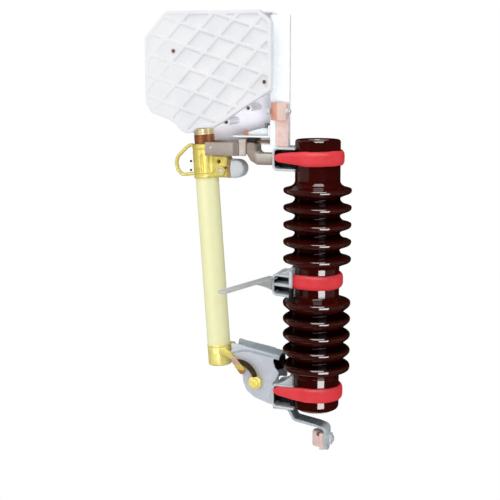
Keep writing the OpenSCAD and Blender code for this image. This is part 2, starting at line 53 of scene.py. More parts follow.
MM = 0.001
POST_TOP = 367.0
NECK_R = 29.4
FOOT_R = 30.5
FOOT_TOP = 55.4
SHED_R = 44.4
STRAP_T = 4.6
STRAP_H = 19.0
LEG_TURN = math.radians(12.0)
WEB_X = 55.5
TUBE_R = 15.4
TUBE_LEAN = math.radians(3.95)
TUBE_FOOT = np.array([-134.4, 0.0, 59.0])
TUBE_UP = np.array([-math.sin(TUBE_LEAN), 0.0, math.cos(TUBE_LEAN)])
CASTING_Z = 255.0
CASTING_H = 45.0
CASTING_R = TUBE_R + 1.5
PIVOT = (-78.5, 42.5)
LATCH_PIN = (-129, 323.5)
RING_RIVETS = [(-174, 334.5), (-174, 322.5)]
CHUTE_TOP = 530.0
SIDES = (("near", -1), ("far", 1))
CHUTE_FACE = 34.4

post_low, post_high = (np.array(corner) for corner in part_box("insulator"))
ORIGIN = np.array([
    (post_low[0] + post_high[0]) / 2,
    (post_low[1] + post_high[1]) / 2,
    post_high[2] - POST_TOP * MM,
])

# Which space axes a flat drawing's first, second and thickness directions lie along.
XZ = (0, 2, 1)
XY = (0, 1, 2)
YZ = (1, 2, 0)
X_AXIS = np.array([1.0, 0.0, 0.0])
Y_AXIS = np.array([0.0, 1.0, 0.0])
Z_AXIS = np.array([0.0, 0.0, 1.0])


# ------------------------------------------------------------------ surfaces

HOLE_EDGE = 0.4


def grid_faces(rows, columns, wrap=False, wrap_rows=False):
    """Quads between the points of a grid stored row by row; wrap joins its last and first columns."""
    row = np.arange(rows if wrap_rows else rows - 1)[:, None]
    column = np.arange(columns if wrap else columns - 1)[None, :]
    right = (column + 1) % columns
    below = (row + 1) % rows
    quads = [row * columns + column, row * columns + right, below * columns + right, below * columns + column]
    return np.stack(quads, axis=-1).reshape(-1, 4)


def lathe(profile, foot=(0, 0, 0), axis=Z_AXIS, around=64, start=0.0, turn=2 * math.pi):
    """A profile of (radius, height) pairs turned about an axis: the point at height h and angle a
    is foot + h * axis + radius * (cos a * side + sin a * ahead)."""
    profile = np.asarray(profile, dtype=float)
    axis = np.asarray(axis, dtype=float)
    side = X_AXIS if abs(axis[0]) < 0.9 else Y_AXIS
    side = side - axis * (side @ axis)
    side = side / np.linalg.norm(side)
    ahead = np.cross(axis, side)
    whole = turn > 6.28
    angle = start + np.linspace(0, turn, around, endpoint=not whole)
    spoke = np.cos(angle)[:, None] * side + np.sin(angle)[:, None] * ahead
    radius, height = profile[:, 0, None, None], profile[:, 1, None, None]
    points = np.asarray(foot, dtype=float) + height * axis + radius * spoke
    return points.reshape(-1, 3), grid_faces(len(profile), around, wrap=whole)


def rounded(corners, radius, steps=5, closed=True):
    """The outline with each corner replaced by an arc that touches both of its sides."""
    corners = [np.asarray(c, dtype=float) for c in corners]
    count = len(corners)
    out = []
    for k, corner in enumerate(corners):
        if not closed and k in (0, count - 1):
            out.append(corner)
            continue
        before, after = corners[k - 1], corners[(k + 1) % count]
        u_len, v_len = np.linalg.norm(before - corner), np.linalg.norm(after - corner)
        u, v = (before - corner) / u_len, (after - corner) / v_len
        half = math.acos(np.clip(u @ v, -1, 1)) / 2
        if half > math.pi / 2 - 0.02:
            out.append(corner)
            continue
        reach = min(radius / math.tan(half), 0.45 * u_len, 0.45 * v_len)
        arc_r = reach * math.tan(half)
        centre = corner + (u + v) / np.linalg.norm(u + v) * arc_r / math.sin(half)
        first = math.atan2(*(corner + u * reach - centre)[::-1])
        last = math.atan2(*(corner + v * reach - centre)[::-1])
        sweep = (last - first + math.pi) % (2 * math.pi) - math.pi
        out.extend(centre + arc_r * np.array([math.cos(first + sweep * s), math.sin(first + sweep * s)])
                   for s in np.linspace(0, 1, steps))
    return np.array(out)


def circle(centre, radius, steps=28):
    """Points of a circle, anticlockwise."""
    angle = np.linspace(0, 2 * math.pi, steps, endpoint=False)
    return np.asarray(centre, dtype=float) + radius * np.stack([np.cos(angle), np.sin(angle)], axis=1)


def loop_area(loop):
    """The area of a loop, which is negative for a clockwise one."""
    after = np.roll(loop, -1, axis=0)
    return 0.5 * np.sum(loop[:, 0] * after[:, 1] - after[:, 0] * loop[:, 1])


def anticlockwise(loop):
    """The closed loop with its points in anticlockwise order."""
    loop = np.asarray(loop, dtype=float)
    return loop if loop_area(loop) > 0 else loop[::-1]


def inset(loop, depth):
    """The anticlockwise loop moved inwards: each point goes along the mean of its two sides' normals."""
    before = loop - np.roll(loop, 1, axis=0)
    after = np.roll(loop, -1, axis=0) - loop
    before = before / np.maximum(np.linalg.norm(before, axis=1, keepdims=True), 1e-9)
    after = after / np.maximum(np.linalg.norm(after, axis=1, keepdims=True), 1e-9)
    normal = np.stack([-before[:, 1] - after[:, 1], before[:, 0] + after[:, 0]], axis=1)
    length = np.maximum(np.sum(normal * normal, axis=1, keepdims=True), 0.4)
    return loop + depth * 2 * normal / length


def spread(flat, height, order):
    """Flat points and their heights as points in space, along the axes that order names."""
    points = np.empty((len(flat), 3))
    points[:, order[0]] = flat[:, 0]
    points[:, order[1]] = flat[:, 1]
    points[:, order[2]] = height
    return points


def within(points, loop):
    """Whether each point is inside the loop: a line from it towards +X crosses the loop an odd
    number of times."""
    after = np.roll(loop, -1, axis=0)
    x, y = points[:, 0, None], points[:, 1, None]
    spans = (loop[:, 1] > y) != (after[:, 1] > y)
    rise = np.where(after[:, 1] == loop[:, 1], 1e-12, after[:, 1] - loop[:, 1])
    cross = loop[:, 0] + (y - loop[:, 1]) * (after[:, 0] - loop[:, 0]) / rise
    return np.sum(spans & (cross > x), axis=1) % 2 == 1


def fill(loops):
    """Triangles that fill the area between the first loop and the others, as numbers of their points."""
    flat = np.concatenate(loops)
    edges = []
    first = 0
    for loop in loops:
        edges += [(first + k, first + (k + 1) % len(loop)) for k in range(len(loop))]
        first += len(loop)
    places, _, faces, source, _, _ = delaunay_2d_cdt([tuple(p) for p in flat], edges, [], 1, 1e-6)
    faces = np.array([face for face in faces if len(face) == 3])
    middles = np.array([tuple(p) for p in places])[faces].mean(axis=1)
    kept = within(middles, loops[0])
    for loop in loops[1:]:
        kept &= ~within(middles, loop)
    number = np.array([given[0] for given in source])
    return number[faces[kept]]


def quarter_bend(radius, low):
    """(inset, height) steps from a face up to a wall along a quarter circle."""
    quarter = np.linspace(0, math.pi / 2, 4)
    return [(radius * (1 - math.sin(a)), low + radius * (1 - math.cos(a))) for a in quarter]


def plate(outline, low, high, order=XZ, edge=0.5, holes=()):
    """A plate: each outline is carried from one face to the other, and moves in along a quarter
    circle of radius edge as it nears either face; the two faces are then filled."""
    outer = quarter_bend(edge, low)
    inner = [(-d, h) for d, h in quarter_bend(HOLE_EDGE, low)]
    loops = [anticlockwise(outline)] + [anticlockwise(hole) for hole in holes]
    points, faces, caps = [], [], ([], [])
    first = 0
    for number, loop in enumerate(loops):
        steps = inner if number else outer
        steps = steps + [(d, low + high - h) for d, h in reversed(steps)]
        points += [spread(inset(loop, d), h, order) for d, h in steps]
        faces += (first + grid_faces(len(steps), len(loop), wrap=True)).tolist()
        caps[0].append(first + np.arange(len(loop)))
        first += len(steps) * len(loop)
        caps[1].append(first - len(loop) + np.arange(len(loop)))
    filled = fill(loops)
    for cap in caps:
        numbers = np.concatenate(cap)
        faces += numbers[filled].tolist()
    return np.concatenate(points), faces


def box_section(width, height, radius, steps=4):
    """A closed rounded rectangle about zero."""
    w, h = width / 2, height / 2
    return rounded([(-w, -h), (w, -h), (w, h), (-w, h)], radius, steps)


def sweep(path, section, order=XZ, across=None, along=None, middle=0.0):
    """A closed section carried along a flat path: its first coordinate goes along the path's
    normal and its second along the thickness direction. across and along scale them by step."""
    path = np.asarray(path, dtype=float)
    ahead = np.gradient(path, axis=0)
    ahead = ahead / np.linalg.norm(ahead, axis=1, keepdims=True)
    normal = np.stack([-ahead[:, 1], ahead[:, 0]], axis=1)
    across = np.ones(len(path)) if across is None else np.asarray(across)
    along = np.ones(len(path)) if along is None else np.asarray(along)
    section = np.asarray(section, dtype=float)
    flat = path[:, None, :] + section[None, :, 0, None] * across[:, None, None] * normal[:, None, :]
    height = middle + section[None, :, 1] * along[:, None]
    points = spread(flat.reshape(-1, 2), height.reshape(-1), order)
    count = len(section)
    faces = grid_faces(len(path), count, wrap=True).tolist()
    faces += [list(range(count)), list(range((len(path) - 1) * count, len(path) * count))]
    return points, faces


def resample(path, step):
    """The path with points an even distance apart."""
    path = np.asarray(path, dtype=float)
    run = np.concatenate([[0], np.cumsum(np.linalg.norm(np.diff(path, axis=0), axis=1))])
    count = max(2, int(round(run[-1] / step)) + 1)
    at = np.linspace(0, run[-1], count)
    return np.stack([np.interp(at, run, path[:, k]) for k in range(path.shape[1])], axis=1)


def smooth(path, width):
    """The path with each inner point replaced by a bell-weighted mean of its neighbours."""
    reach = int(width * 3)
    weights = np.exp(-0.5 * (np.arange(-reach, reach + 1) / width) ** 2)
    weights /= weights.sum()
    padded = np.concatenate([np.repeat(path[:1], reach, 0), path, np.repeat(path[-1:], reach, 0)])
    out = np.stack([np.convolve(padded[:, k], weights, mode="valid") for k in range(path.shape[1])], axis=1)
    out[0], out[-1] = path[0], path[-1]
    return out


def joined(*parts):
    """Several (points, faces) surfaces as one."""
    points, faces, first = [], [], 0
    for part_points, part_faces in parts:
        points.append(part_points)
        faces += [[int(k) + first for k in face] for face in part_faces]
        first += len(part_points)
    return np.concatenate(points), faces


def mirrored(part):
    """The surface on the other side of the fuse plane."""
    points, faces = part
    return points * np.array([1, -1, 1]), faces


def hexagon(at, radius, turn=0.0):
    """The corners of a hexagon, softened."""
    angle = turn + np.arange(6) * math.pi / 3
    corners = np.asarray(at) + radius * np.stack([np.cos(angle), np.sin(angle)], axis=1)
    return rounded(corners, radius * 0.08, 3)


def panel(corners, corner_r, low, high, order=XZ, edge=0.5, steps=5, holes=()):
    """A plate drawn by its corners, which are rounded to corner_r."""
    return plate(rounded(corners, corner_r, steps), low, high, order, edge, holes)


def disc(at, radius, low, high, order=XZ, edge=0.4, around=24):
    """A round plate or bar with softened ends, at a point of a flat drawing."""
    return plate(circle(at, radius, around), low, high, order, edge)


def on_pin(profile, at, around=32, side=1):
    """A profile turned about an axis along Y, through a place of the side view."""
    return lathe(profile, (at[0], 0, at[1]), Y_AXIS * side, around)


def both_sides(part):
    """The surface and its mirror image, as one."""
    return joined(part, mirrored(part))


def steps_up(value, start, width):
    """0 below start, then a straight rise to 1 over width; a negative width falls instead."""
    return np.clip((value - start) / width, 0, 1)


# ------------------------------------------------------------------ pieces

def make_piece(name, part, finish, node=None, angle=34, *, body, slot=None, wall=0.0, bevel=0.0):
    """Makes one object from a surface in millimetres and puts it on a body. It stands in for a
    CAD node where one is named. Edges sharper than angle, in degrees, stay sharp; wall is the
    thickness given to an open sheet, and bevel the radius of its edges."""
    points, faces = part
    mesh = bpy.data.meshes.new(name)
    mesh.from_pydata((points * MM + ORIGIN).tolist(), [], [list(map(int, face)) for face in faces])
    work = bmesh.new()
    work.from_mesh(mesh)
    bmesh.ops.remove_doubles(work, verts=work.verts, dist=2e-6)
    bmesh.ops.dissolve_degenerate(work, edges=work.edges, dist=1e-6)
    bmesh.ops.recalc_face_normals(work, faces=work.faces)
    work.to_mesh(mesh)
    work.free()
    mesh.shade_smooth()
    mesh.set_sharp_from_angle(angle=math.radians(angle))
    mesh.materials.append(finish)
    piece = bpy.data.objects.new(name, mesh)
    bpy.context.scene.collection.objects.link(piece)
    if wall:
        solid = piece.modifiers.new("wall", "SOLIDIFY")
        solid.thickness = wall * MM
        solid.offset = 0
        solid.use_even_offset = True
    if bevel:
        soft = piece.modifiers.new("soft_edges", "BEVEL")
        soft.width = bevel * MM
        soft.segments = 2
        soft.limit_method = "ANGLE"
        soft.angle_limit = math.radians(40)
        soft.harden_normals = False
    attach(piece, body)
    if node:
        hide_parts(node)
    return piece


frame_piece = functools.partial(make_piece, body="post_frame")
holder_piece = functools.partial(make_piece, body="fuse_holder")


def give_value(piece, name, value):
    """Stores one number per vertex, worked out from the vertices' places in millimetres."""
    mesh = piece.data
    points = np.empty(len(mesh.vertices) * 3)
    mesh.vertices.foreach_get("co", points)
    points = (points.reshape(-1, 3) - ORIGIN) / MM
    layer = mesh.attributes.new(name, "FLOAT", "POINT")
    layer.data.foreach_set("value", np.asarray(value(points), dtype=np.float32))


# ------------------------------------------------------------------ finishes

def ink(red, green, blue):
    """A colour as it shows on a screen, 0 to 255, in the light units that shaders take."""
    values = np.array([red, green, blue]) / 255
    linear = np.where(values <= 0.04045, values / 12.92, ((values + 0.055) / 1.055) ** 2.4)
    return (*linear.tolist(), 1.0)


class Paint:
    """A material with helpers that add its nodes."""

    def __init__(self, name, roughness=0.5, metallic=0.0, **sockets):
        self.material = bpy.data.materials.new(name)
        self.material.use_nodes = True
        self.tree = self.material.node_tree
        self.shader = self.tree.nodes["Principled BSDF"]
        self.shader.inputs["Roughness"].default_value = roughness
        self.shader.inputs["Metallic"].default_value = metallic
        for socket, value in sockets.items():
            self.shader.inputs[socket.replace("_", " ")].default_value = value
        self.place = self.tree.nodes.new("ShaderNodeTexCoord").outputs["Object"]
        self.normal = None

    def node(self, kind, output=0, links=None, **settings):
        """Adds a node, with its settings and what its inputs are linked or set to. Returns one
        of its outputs."""
        made = self.tree.nodes.new(kind)
        for key, value in settings.items():
            setattr(made, key, value)
        for key, value in (links or {}).items():
            socket = made.inputs[key]
            if isinstance(value, bpy.types.NodeSocket):
                self.tree.links.new(value, socket)
            else:
                socket.default_value = value
        return made.outputs[output]

    def stretched(self, factors, turn=(0, 0, 0)):
        """Object coordinates turned about the scene's origin and stretched along the axes."""
        return self.node("ShaderNodeMapping", links={
            "Vector": self.place, "Scale": factors, "Rotation": turn})

    def noise(self, size_mm, detail=3.0, place=None, roughness=0.55, distortion=0.0):
        """Cloudy noise whose features are about size_mm across."""
        return self.node("ShaderNodeTexNoise", links={
            "Vector": place or self.place, "Scale": 1 / (size_mm * MM), "Detail": detail,
            "Roughness": roughness, "Distortion": distortion})

    def cells(self, size_mm, place):
        """Cells about size_mm across, each of one random colour."""
        return self.node("ShaderNodeTexVoronoi", "Color", links={
            "Vector": place, "Scale": 1 / (size_mm * MM)})

    def wave(self, size_mm, direction, distortion, place=None):
        """Even bands across one axis, which distortion makes uneven."""
        return self.node("ShaderNodeTexWave", "Fac", bands_direction=direction, links={
            "Vector": place or self.place, "Scale": 0.5 / (size_mm * MM), "Distortion": distortion})

    def ramp(self, value, low, high, start=0.3, end=0.7):
        """Maps value from start..end to low..high, which are numbers or colours."""
        if isinstance(low, tuple):
            made = self.tree.nodes.new("ShaderNodeValToRGB")
            made.color_ramp.elements[0].position = start
            made.color_ramp.elements[0].color = low
            made.color_ramp.elements[1].position = end
            made.color_ramp.elements[1].color = high
            self.tree.links.new(value, made.inputs[0])
            return made.outputs[0]
        return self.node("ShaderNodeMapRange", links={
            "Value": value, "From Min": start, "From Max": end, "To Min": low, "To Max": high})

    def mix(self, factor, first, second):
        """The first colour where the factor is 0 and the second where it is 1."""
        return self.node("ShaderNodeMix", 2, data_type="RGBA", links={0: factor, 6: first, 7: second})

    def calc(self, operation, first, second):
        """One step of arithmetic on two numbers."""
        return self.node("ShaderNodeMath", operation=operation, links={0: first, 1: second})

    def stored(self, name):
        """A number stored on the piece's vertices."""
        return self.node("ShaderNodeAttribute", "Fac", attribute_name=name)

    def colour(self, value):
        """Gives the surface its colour."""
        self.tree.links.new(value, self.shader.inputs["Base Color"])

    def rough(self, value):
        """Gives the surface its roughness."""
        self.tree.links.new(value, self.shader.inputs["Roughness"])

    def shine(self, value):
        """Says how strongly a surface that isn't metal mirrors."""
        self.tree.links.new(value, self.shader.inputs["Specular IOR Level"])

    def relief(self, height, depth_mm, strength):
        """Adds bumps of a height map to those already there."""
        links = {"Height": height, "Distance": depth_mm * MM, "Strength": strength}
        if self.normal is not None:
            links["Normal"] = self.normal
        self.normal = self.node("ShaderNodeBump", links=links)
        self.tree.links.new(self.normal, self.shader.inputs["Normal"])


def glaze():
    """Dark brown glaze, thinner and lighter over the rims, with painted shade nearly black between
    the sheds and less reflection there, and with fine pits and iron specks."""
    paint = Paint("brown_glaze", 0.06, Specular_IOR_Level=0.5)
    mottle_and_shade = paint.noise(26, 3)
    base = paint.ramp(mottle_and_shade, ink(62, 12, 8), ink(50, 8, 5))
    thin = paint.calc("MULTIPLY", paint.stored("rim"), paint.ramp(paint.noise(9, 4), 0.65, 1.0))
    base = paint.mix(thin, base, ink(58, 25, 20))
    # Painted shade: nearly black in the band between the sheds.
    base = paint.mix(paint.calc("MULTIPLY", paint.stored("valley"), 0.94), base, ink(6, 0, 0))
    specks = paint.ramp(paint.noise(1.1, 2), 0.0, 1.0, 0.66, 0.74)
    base = paint.mix(paint.calc("MULTIPLY", specks, 0.5), base, ink(24, 4, 3))
    paint.colour(base)
    # The glaze reflects less in that band of painted shade.
    paint.shine(paint.ramp(paint.stored("dull"), 0.5, 0.07, 0.0, 1.0))
    paint.rough(paint.ramp(paint.noise(7, 4), 0.03, 0.1))
    paint.relief(paint.noise(14, 2), 0.25, 0.5)
    paint.relief(paint.noise(1.6, 2), 0.02, 0.35)
    return paint.material


def bare_clay():
    """Unglazed porcelain: cream, matt and finely speckled."""
    paint = Paint("bare_porcelain", 0.75)
    base = paint.ramp(paint.noise(6, 4), ink(226, 216, 192), ink(208, 196, 168))
    specks = paint.ramp(paint.noise(0.7, 2), 0.0, 0.7, 0.62, 0.7)
    paint.colour(paint.mix(specks, base, ink(150, 128, 100)))
    paint.rough(paint.ramp(paint.noise(3, 3), 0.62, 0.85))
    paint.relief(paint.noise(0.5, 3), 0.06, 0.6)
    return paint.material


def red_coat():
    """Thick red plastisol that a strap was dipped in: soft gloss, slow waves and faint scuffs."""
    paint = Paint("red_dip_coat", 0.34, Specular_IOR_Level=0.55)
    base = paint.ramp(paint.noise(18, 3), ink(240, 44, 54), ink(248, 62, 72))
    scuff = paint.noise(3.2, 5, paint.stretched((1, 1, 3.0)), 0.7)
    paint.colour(paint.mix(paint.ramp(scuff, 0.0, 0.5, 0.62, 0.75), base, ink(250, 130, 138)))
    paint.rough(paint.ramp(paint.noise(5, 4), 0.34, 0.5))
    paint.relief(paint.noise(9, 2), 0.3, 0.6)
    paint.relief(paint.noise(0.9, 3), 0.03, 0.5)
    return paint.material


def galvanised(name, light, dark, size, metallic):
    """Hot-dip zinc: crystals of slightly different grey with frosted patches and a pebbly skin."""
    paint = Paint(name, 0.42, metallic)
    wander = paint.node("ShaderNodeTexNoise", 1, links={"Vector": paint.place, "Scale": 90.0})
    moved = paint.node("ShaderNodeVectorMath", operation="ADD", links={0: paint.place, 1: wander})
    tone = paint.node("ShaderNodeSeparateColor", links={0: paint.cells(size, moved)})
    base = paint.ramp(tone, ink(*light), ink(*dark), 0.0, 1.0)
    bloom = paint.ramp(paint.noise(11, 5, roughness=0.65), 0.0, 0.6, 0.5, 0.72)
    paint.colour(paint.mix(bloom, base, ink(*[min(255, c + 14) for c in light])))
    paint.rough(paint.ramp(paint.noise(4, 4), 0.3, 0.55))
    paint.relief(paint.noise(2.4, 4), 0.12, 0.5)
    paint.relief(tone, 0.03, 0.4)
    return paint.material


def cast_brass(name, light, dark, metallic):
    """Sand-cast brass: bright where it is rubbed, darker and browner in the pits."""
    paint = Paint(name, 0.3, metallic)
    grain = paint.noise(1.3, 5, roughness=0.65)
    patches = paint.noise(8, 4)
    base = paint.ramp(patches, ink(*light), ink(*dark), 0.35, 0.7)
    pits = paint.ramp(grain, 0.0, 0.75, 0.56, 0.72)
    paint.colour(paint.mix(pits, base, ink(*[int(c * 0.62) for c in dark])))
    paint.rough(paint.ramp(grain, 0.22, 0.5))
    paint.relief(grain, 0.14, 0.5)
    return paint.material


def turned_metal(name, light, dark, metallic, along="Z"):
    """Lathe-turned metal: fine rings round the axis, with a few deeper ones."""
    paint = Paint(name, 0.25, metallic)
    squeeze = {"X": (9, 0.6, 0.6), "Y": (0.6, 9, 0.6), "Z": (0.6, 0.6, 9)}[along]
    rings = paint.noise(2.2, 4, paint.stretched(squeeze), 0.6)
    base = paint.ramp(rings, ink(*light), ink(*dark), 0.35, 0.68)
    stain = paint.ramp(paint.noise(7, 4), 0.0, 0.55, 0.52, 0.72)
    paint.colour(paint.mix(stain, base, ink(*[int(c * 0.8) for c in dark])))
    paint.rough(paint.ramp(rings, 0.18, 0.4))
    paint.relief(rings, 0.04, 0.6)
    return paint.material


def sheet_copper(name, light, dark, tarnish, metallic, pale=None):
    """Rolled copper: faint drawing lines, warm tarnish clouds and small dark spots. Where the
    stored number "pale" is 1, it is the lighter colour pale, which paints a face as lit."""
    paint = Paint(name, 0.36, metallic)
    lines = paint.noise(1.4, 4, paint.stretched((4, 4, 0.35)), 0.6)
    clouds = paint.noise(9, 5, roughness=0.62)
    base = paint.ramp(lines, ink(*light), ink(*dark), 0.3, 0.72)
    base = paint.mix(paint.ramp(clouds, 0.0, 0.75, 0.48, 0.74), base, ink(*tarnish))
    spots = paint.ramp(paint.noise(1.5, 2), 0.0, 0.6, 0.68, 0.74)
    base = paint.mix(spots, base, ink(*[int(c * 0.55) for c in tarnish]))
    paint.colour(paint.mix(paint.stored("pale"), base, ink(*pale)) if pale else base)
    paint.rough(paint.ramp(clouds, 0.26, 0.52))
    paint.relief(lines, 0.04, 0.5)
    return paint.material


def spring_contact():
    """Tinned bronze: brushed lengthways, warm grey, with browner places of wear."""
    paint = Paint("tinned_bronze", 0.34, 0.35)
    brushed = paint.noise(1.5, 5, paint.stretched((0.25, 4, 4)), 0.65)
    base = paint.ramp(brushed, ink(186, 175, 165), ink(166, 155, 145), 0.3, 0.7)
    worn = paint.ramp(paint.noise(9, 4), 0.0, 0.45, 0.52, 0.76)
    paint.colour(paint.mix(worn, base, ink(160, 140, 126)))
    paint.rough(paint.ramp(brushed, 0.24, 0.46))
    paint.relief(brushed, 0.05, 0.6)
    return paint.material


def white_plastic():
    """Moulded white resin: faint flow clouds, fine grain and small grey marks."""
    paint = Paint("white_moulding", 0.42)
    flow = paint.noise(38, 4, distortion=0.6)
    base = paint.ramp(flow, ink(250, 250, 252), ink(240, 242, 246))
    marks = paint.ramp(paint.noise(2.2, 3), 0.0, 0.5, 0.7, 0.78)
    paint.colour(paint.mix(marks, base, ink(222, 222, 226)))
    paint.rough(paint.ramp(paint.noise(5, 4), 0.34, 0.52))
    paint.relief(paint.noise(0.8, 3), 0.03, 0.5)
    return paint.material


def laminate():
    """Pale glass laminate: a woven grain under a satin skin."""
    paint = Paint("pale_laminate", 0.4)
    warp = paint.wave(1.1, "X", 0.8)
    weft = paint.wave(1.1, "Z", 0.8)
    weave = paint.calc("MULTIPLY", warp, weft)
    base = paint.ramp(paint.noise(24, 4), ink(244, 242, 250), ink(236, 235, 245))
    paint.colour(paint.mix(paint.ramp(weave, 0.0, 0.25, 0.2, 0.9), base, ink(224, 224, 236)))
    paint.rough(paint.ramp(paint.noise(6, 3), 0.34, 0.5))
    paint.relief(weave, 0.03, 0.5)
    return paint.material


def wound_tube():
    """Filament-wound glass and resin: pale yellow, with fine turns round the tube and clear skin."""
    paint = Paint("wound_yellow_tube", 0.36)
    turns = paint.noise(1.6, 4, paint.stretched((0.3, 0.3, 3.6), (0, 0.12, 0)), 0.6)
    clouds = paint.noise(22, 4)
    base = paint.ramp(turns, ink(254, 254, 204), ink(250, 249, 194), 0.3, 0.7)
    base = paint.mix(paint.ramp(clouds, 0.0, 0.5, 0.45, 0.75), base, ink(248, 244, 184))
    specks = paint.ramp(paint.noise(1.2, 2), 0.0, 0.4, 0.7, 0.76)
    paint.colour(paint.mix(specks, base, ink(206, 192, 130)))
    paint.rough(paint.ramp(clouds, 0.28, 0.44))
    paint.relief(turns, 0.06, 0.55)
    return paint.material


def dark_braid():
    """Braided copper tail, tarnished nearly black: strands that cross at a steep angle."""
    paint = Paint("tarnished_braid", 0.45, 0.5)
    one = paint.wave(0.9, "X", 0.3, paint.stretched((1, 1, 1), (0, math.radians(28), 0)))
    other = paint.wave(0.9, "X", 0.3, paint.stretched((1, 1, 1), (0, math.radians(-62), 0)))
    plait = paint.calc("MAXIMUM", one, other)
    base = paint.ramp(plait, ink(30, 22, 12), ink(98, 82, 52), 0.35, 0.95)
    paint.colour(paint.mix(paint.ramp(paint.noise(3, 3), 0.0, 0.6, 0.55, 0.7), base, ink(140, 108, 60)))
    paint.rough(paint.ramp(plait, 0.6, 0.35))
    paint.relief(plait, 0.35, 0.9)
    return paint.material


def dark_metal(name, light, dark):
    """Dulled dark metal: brown-black with rubbed highlights. Its near-black copies are painted shade in
    hollows.
    """
    paint = Paint(name, 0.45, 0.35)
    patches = paint.noise(3, 5, roughness=0.65)
    paint.colour(paint.ramp(patches, ink(*dark), ink(*light), 0.38, 0.72))
    paint.rough(paint.ramp(patches, 0.58, 0.34))
    paint.relief(paint.noise(1.2, 3), 0.06, 0.5)
    return paint.material


def lit_and_shaded_zinc():
    """Zinc strip: slate grey on its broad side, as painted shade, and pale on its edge and its end, as
    painted light.
    """
    paint = Paint("lit_and_shaded_zinc", 0.4, 0.25)
    patches = paint.noise(5, 5, roughness=0.62)
    slate = paint.ramp(patches, ink(132, 142, 150), ink(96, 106, 114), 0.3, 0.7)
    pale = paint.ramp(patches, ink(226, 233, 238), ink(188, 200, 208), 0.3, 0.7)
    paint.colour(paint.mix(paint.stored("pale"), slate, pale))
    paint.rough(paint.ramp(patches, 0.3, 0.52))
    paint.relief(paint.noise(2.0, 4), 0.1, 0.5)
    return paint.material


def lit_and_shaded_bronze():
    """Tinned bronze, brushed lengthways: pale, and brown where the stored number is 1, which is painted shade
    along the blade's lower edge and a darker outer end.
    """
    paint = Paint("lit_and_shaded_bronze", 0.36, 0.25)
    brushed = paint.noise(1.5, 5, paint.stretched((0.25, 4, 4)), 0.65)
    whole = paint.ramp(brushed, ink(216, 214, 206), ink(196, 192, 182), 0.3, 0.7)
    worn = paint.ramp(brushed, ink(170, 156, 142), ink(146, 130, 116), 0.3, 0.7)
    paint.colour(paint.mix(paint.stored("worn"), whole, worn))
    paint.rough(paint.ramp(brushed, 0.26, 0.48))
    paint.relief(brushed, 0.05, 0.6)
    return paint.material


def banded_clamp():
    """The link's clamp: pink copper at its upper end, then a brass band and an orange lower end."""
    paint = Paint("banded_link_clamp", 0.36, 0.35)
    down = paint.stored("down")
    grain = paint.noise(1.4, 4)
    pink = paint.ramp(grain, ink(240, 198, 178), ink(222, 172, 150))
    brass = paint.ramp(grain, ink(250, 232, 130), ink(232, 204, 92))
    orange = paint.ramp(grain, ink(226, 150, 88), ink(200, 118, 62))
    base = paint.mix(paint.ramp(down, 0.0, 1.0, 0.38, 0.46), pink, brass)
    paint.colour(paint.mix(paint.ramp(down, 0.0, 1.0, 0.7, 0.78), base, orange))
    paint.rough(paint.ramp(grain, 0.26, 0.46))
    paint.relief(grain, 0.05, 0.5)
    return paint.material


GLAZE = glaze()
CLAY = bare_clay()
RED = red_coat()
ZINC = galvanised("hot_dip_zinc", (226, 231, 233), (200, 207, 211), 6.0, 0.12)
PALE_ZINC = galvanised("pale_zinc_sheet", (230, 235, 238), (216, 222, 226), 9.0, 0.15)
ARM_ZINC = galvanised("smooth_zinc", (232, 233, 234), (210, 212, 214), 5.0, 0.25)
CAST_BRASS = cast_brass("sand_cast_brass", (248, 234, 132), (222, 198, 92), 0.36)
BRIGHT_BRASS = turned_metal("turned_brass", (255, 243, 146), (244, 222, 112), 0.22)
CAP_BRASS = turned_metal("spun_cap", (255, 244, 204), (240, 212, 158), 0.45)
POLISHED = turned_metal("polished_ferrule", (255, 243, 160), (240, 220, 124), 0.3)
SLEEVE_COPPER = sheet_copper("sleeve_copper", (206, 134, 86), (176, 100, 58), (136, 74, 44), 0.5)
PINK_COPPER = sheet_copper("pink_copper", (252, 228, 224), (244, 210, 202), (236, 188, 172), 0.1)
SALMON = sheet_copper("salmon_copper", (250, 184, 160), (240, 164, 136), (206, 112, 84), 0.1,
                      pale=(255, 226, 212))
BROWN_COPPER = sheet_copper("brown_copper", (164, 118, 82), (120, 80, 54), (92, 58, 38), 0.55)
CONTACT = spring_contact()
TINNED_CLIP = sheet_copper("tinned_clip", (228, 216, 206), (210, 197, 187), (196, 172, 156), 0.35)
WHITE = white_plastic()
PLATE = laminate()
BOSS = dark_metal("grey_bosses", (244, 245, 248), (228, 230, 234))
TUBE = wound_tube()
BRAID = dark_braid()
DARK = dark_metal("black_studs", (70, 60, 52), (26, 20, 16))
RUSTY = dark_metal("browned_screws", (176, 140, 124), (104, 74, 64))
# Near-black: painted shade in the hinge's hollow.
HINGE_HOLLOW_SHADE = dark_metal("painted_shade_hollow", (58, 52, 50), (22, 18, 17))
GREY_STEEL = turned_metal("grey_steel", (168, 172, 176), (120, 126, 132), 0.4)
PALE_BOLT = turned_metal("pale_bolts", (232, 238, 242), (200, 208, 214), 0.15, "X")
# Brown brass: painted shade in the gap between the latch and its nose.
LATCH_SHADE_BRASS = cast_brass("brass_painted_in_shade", (190, 158, 104), (142, 110, 70), 0.3)
# A darker blue-grey copy of the hinge's zinc, painted as shade on the hood and the far lip.
SHADED_HINGE_ZINC = galvanised("shaded_blue_grey_zinc", (192, 203, 211), (170, 182, 192), 7.0, 0.15)
CHEEK_ZINC = galvanised("lavender_zinc", (222, 226, 236), (206, 212, 222), 8.0, 0.1)
STRAP_ZINC = lit_and_shaded_zinc()
BLADE = lit_and_shaded_bronze()
LINK_CLAMP = banded_clamp()
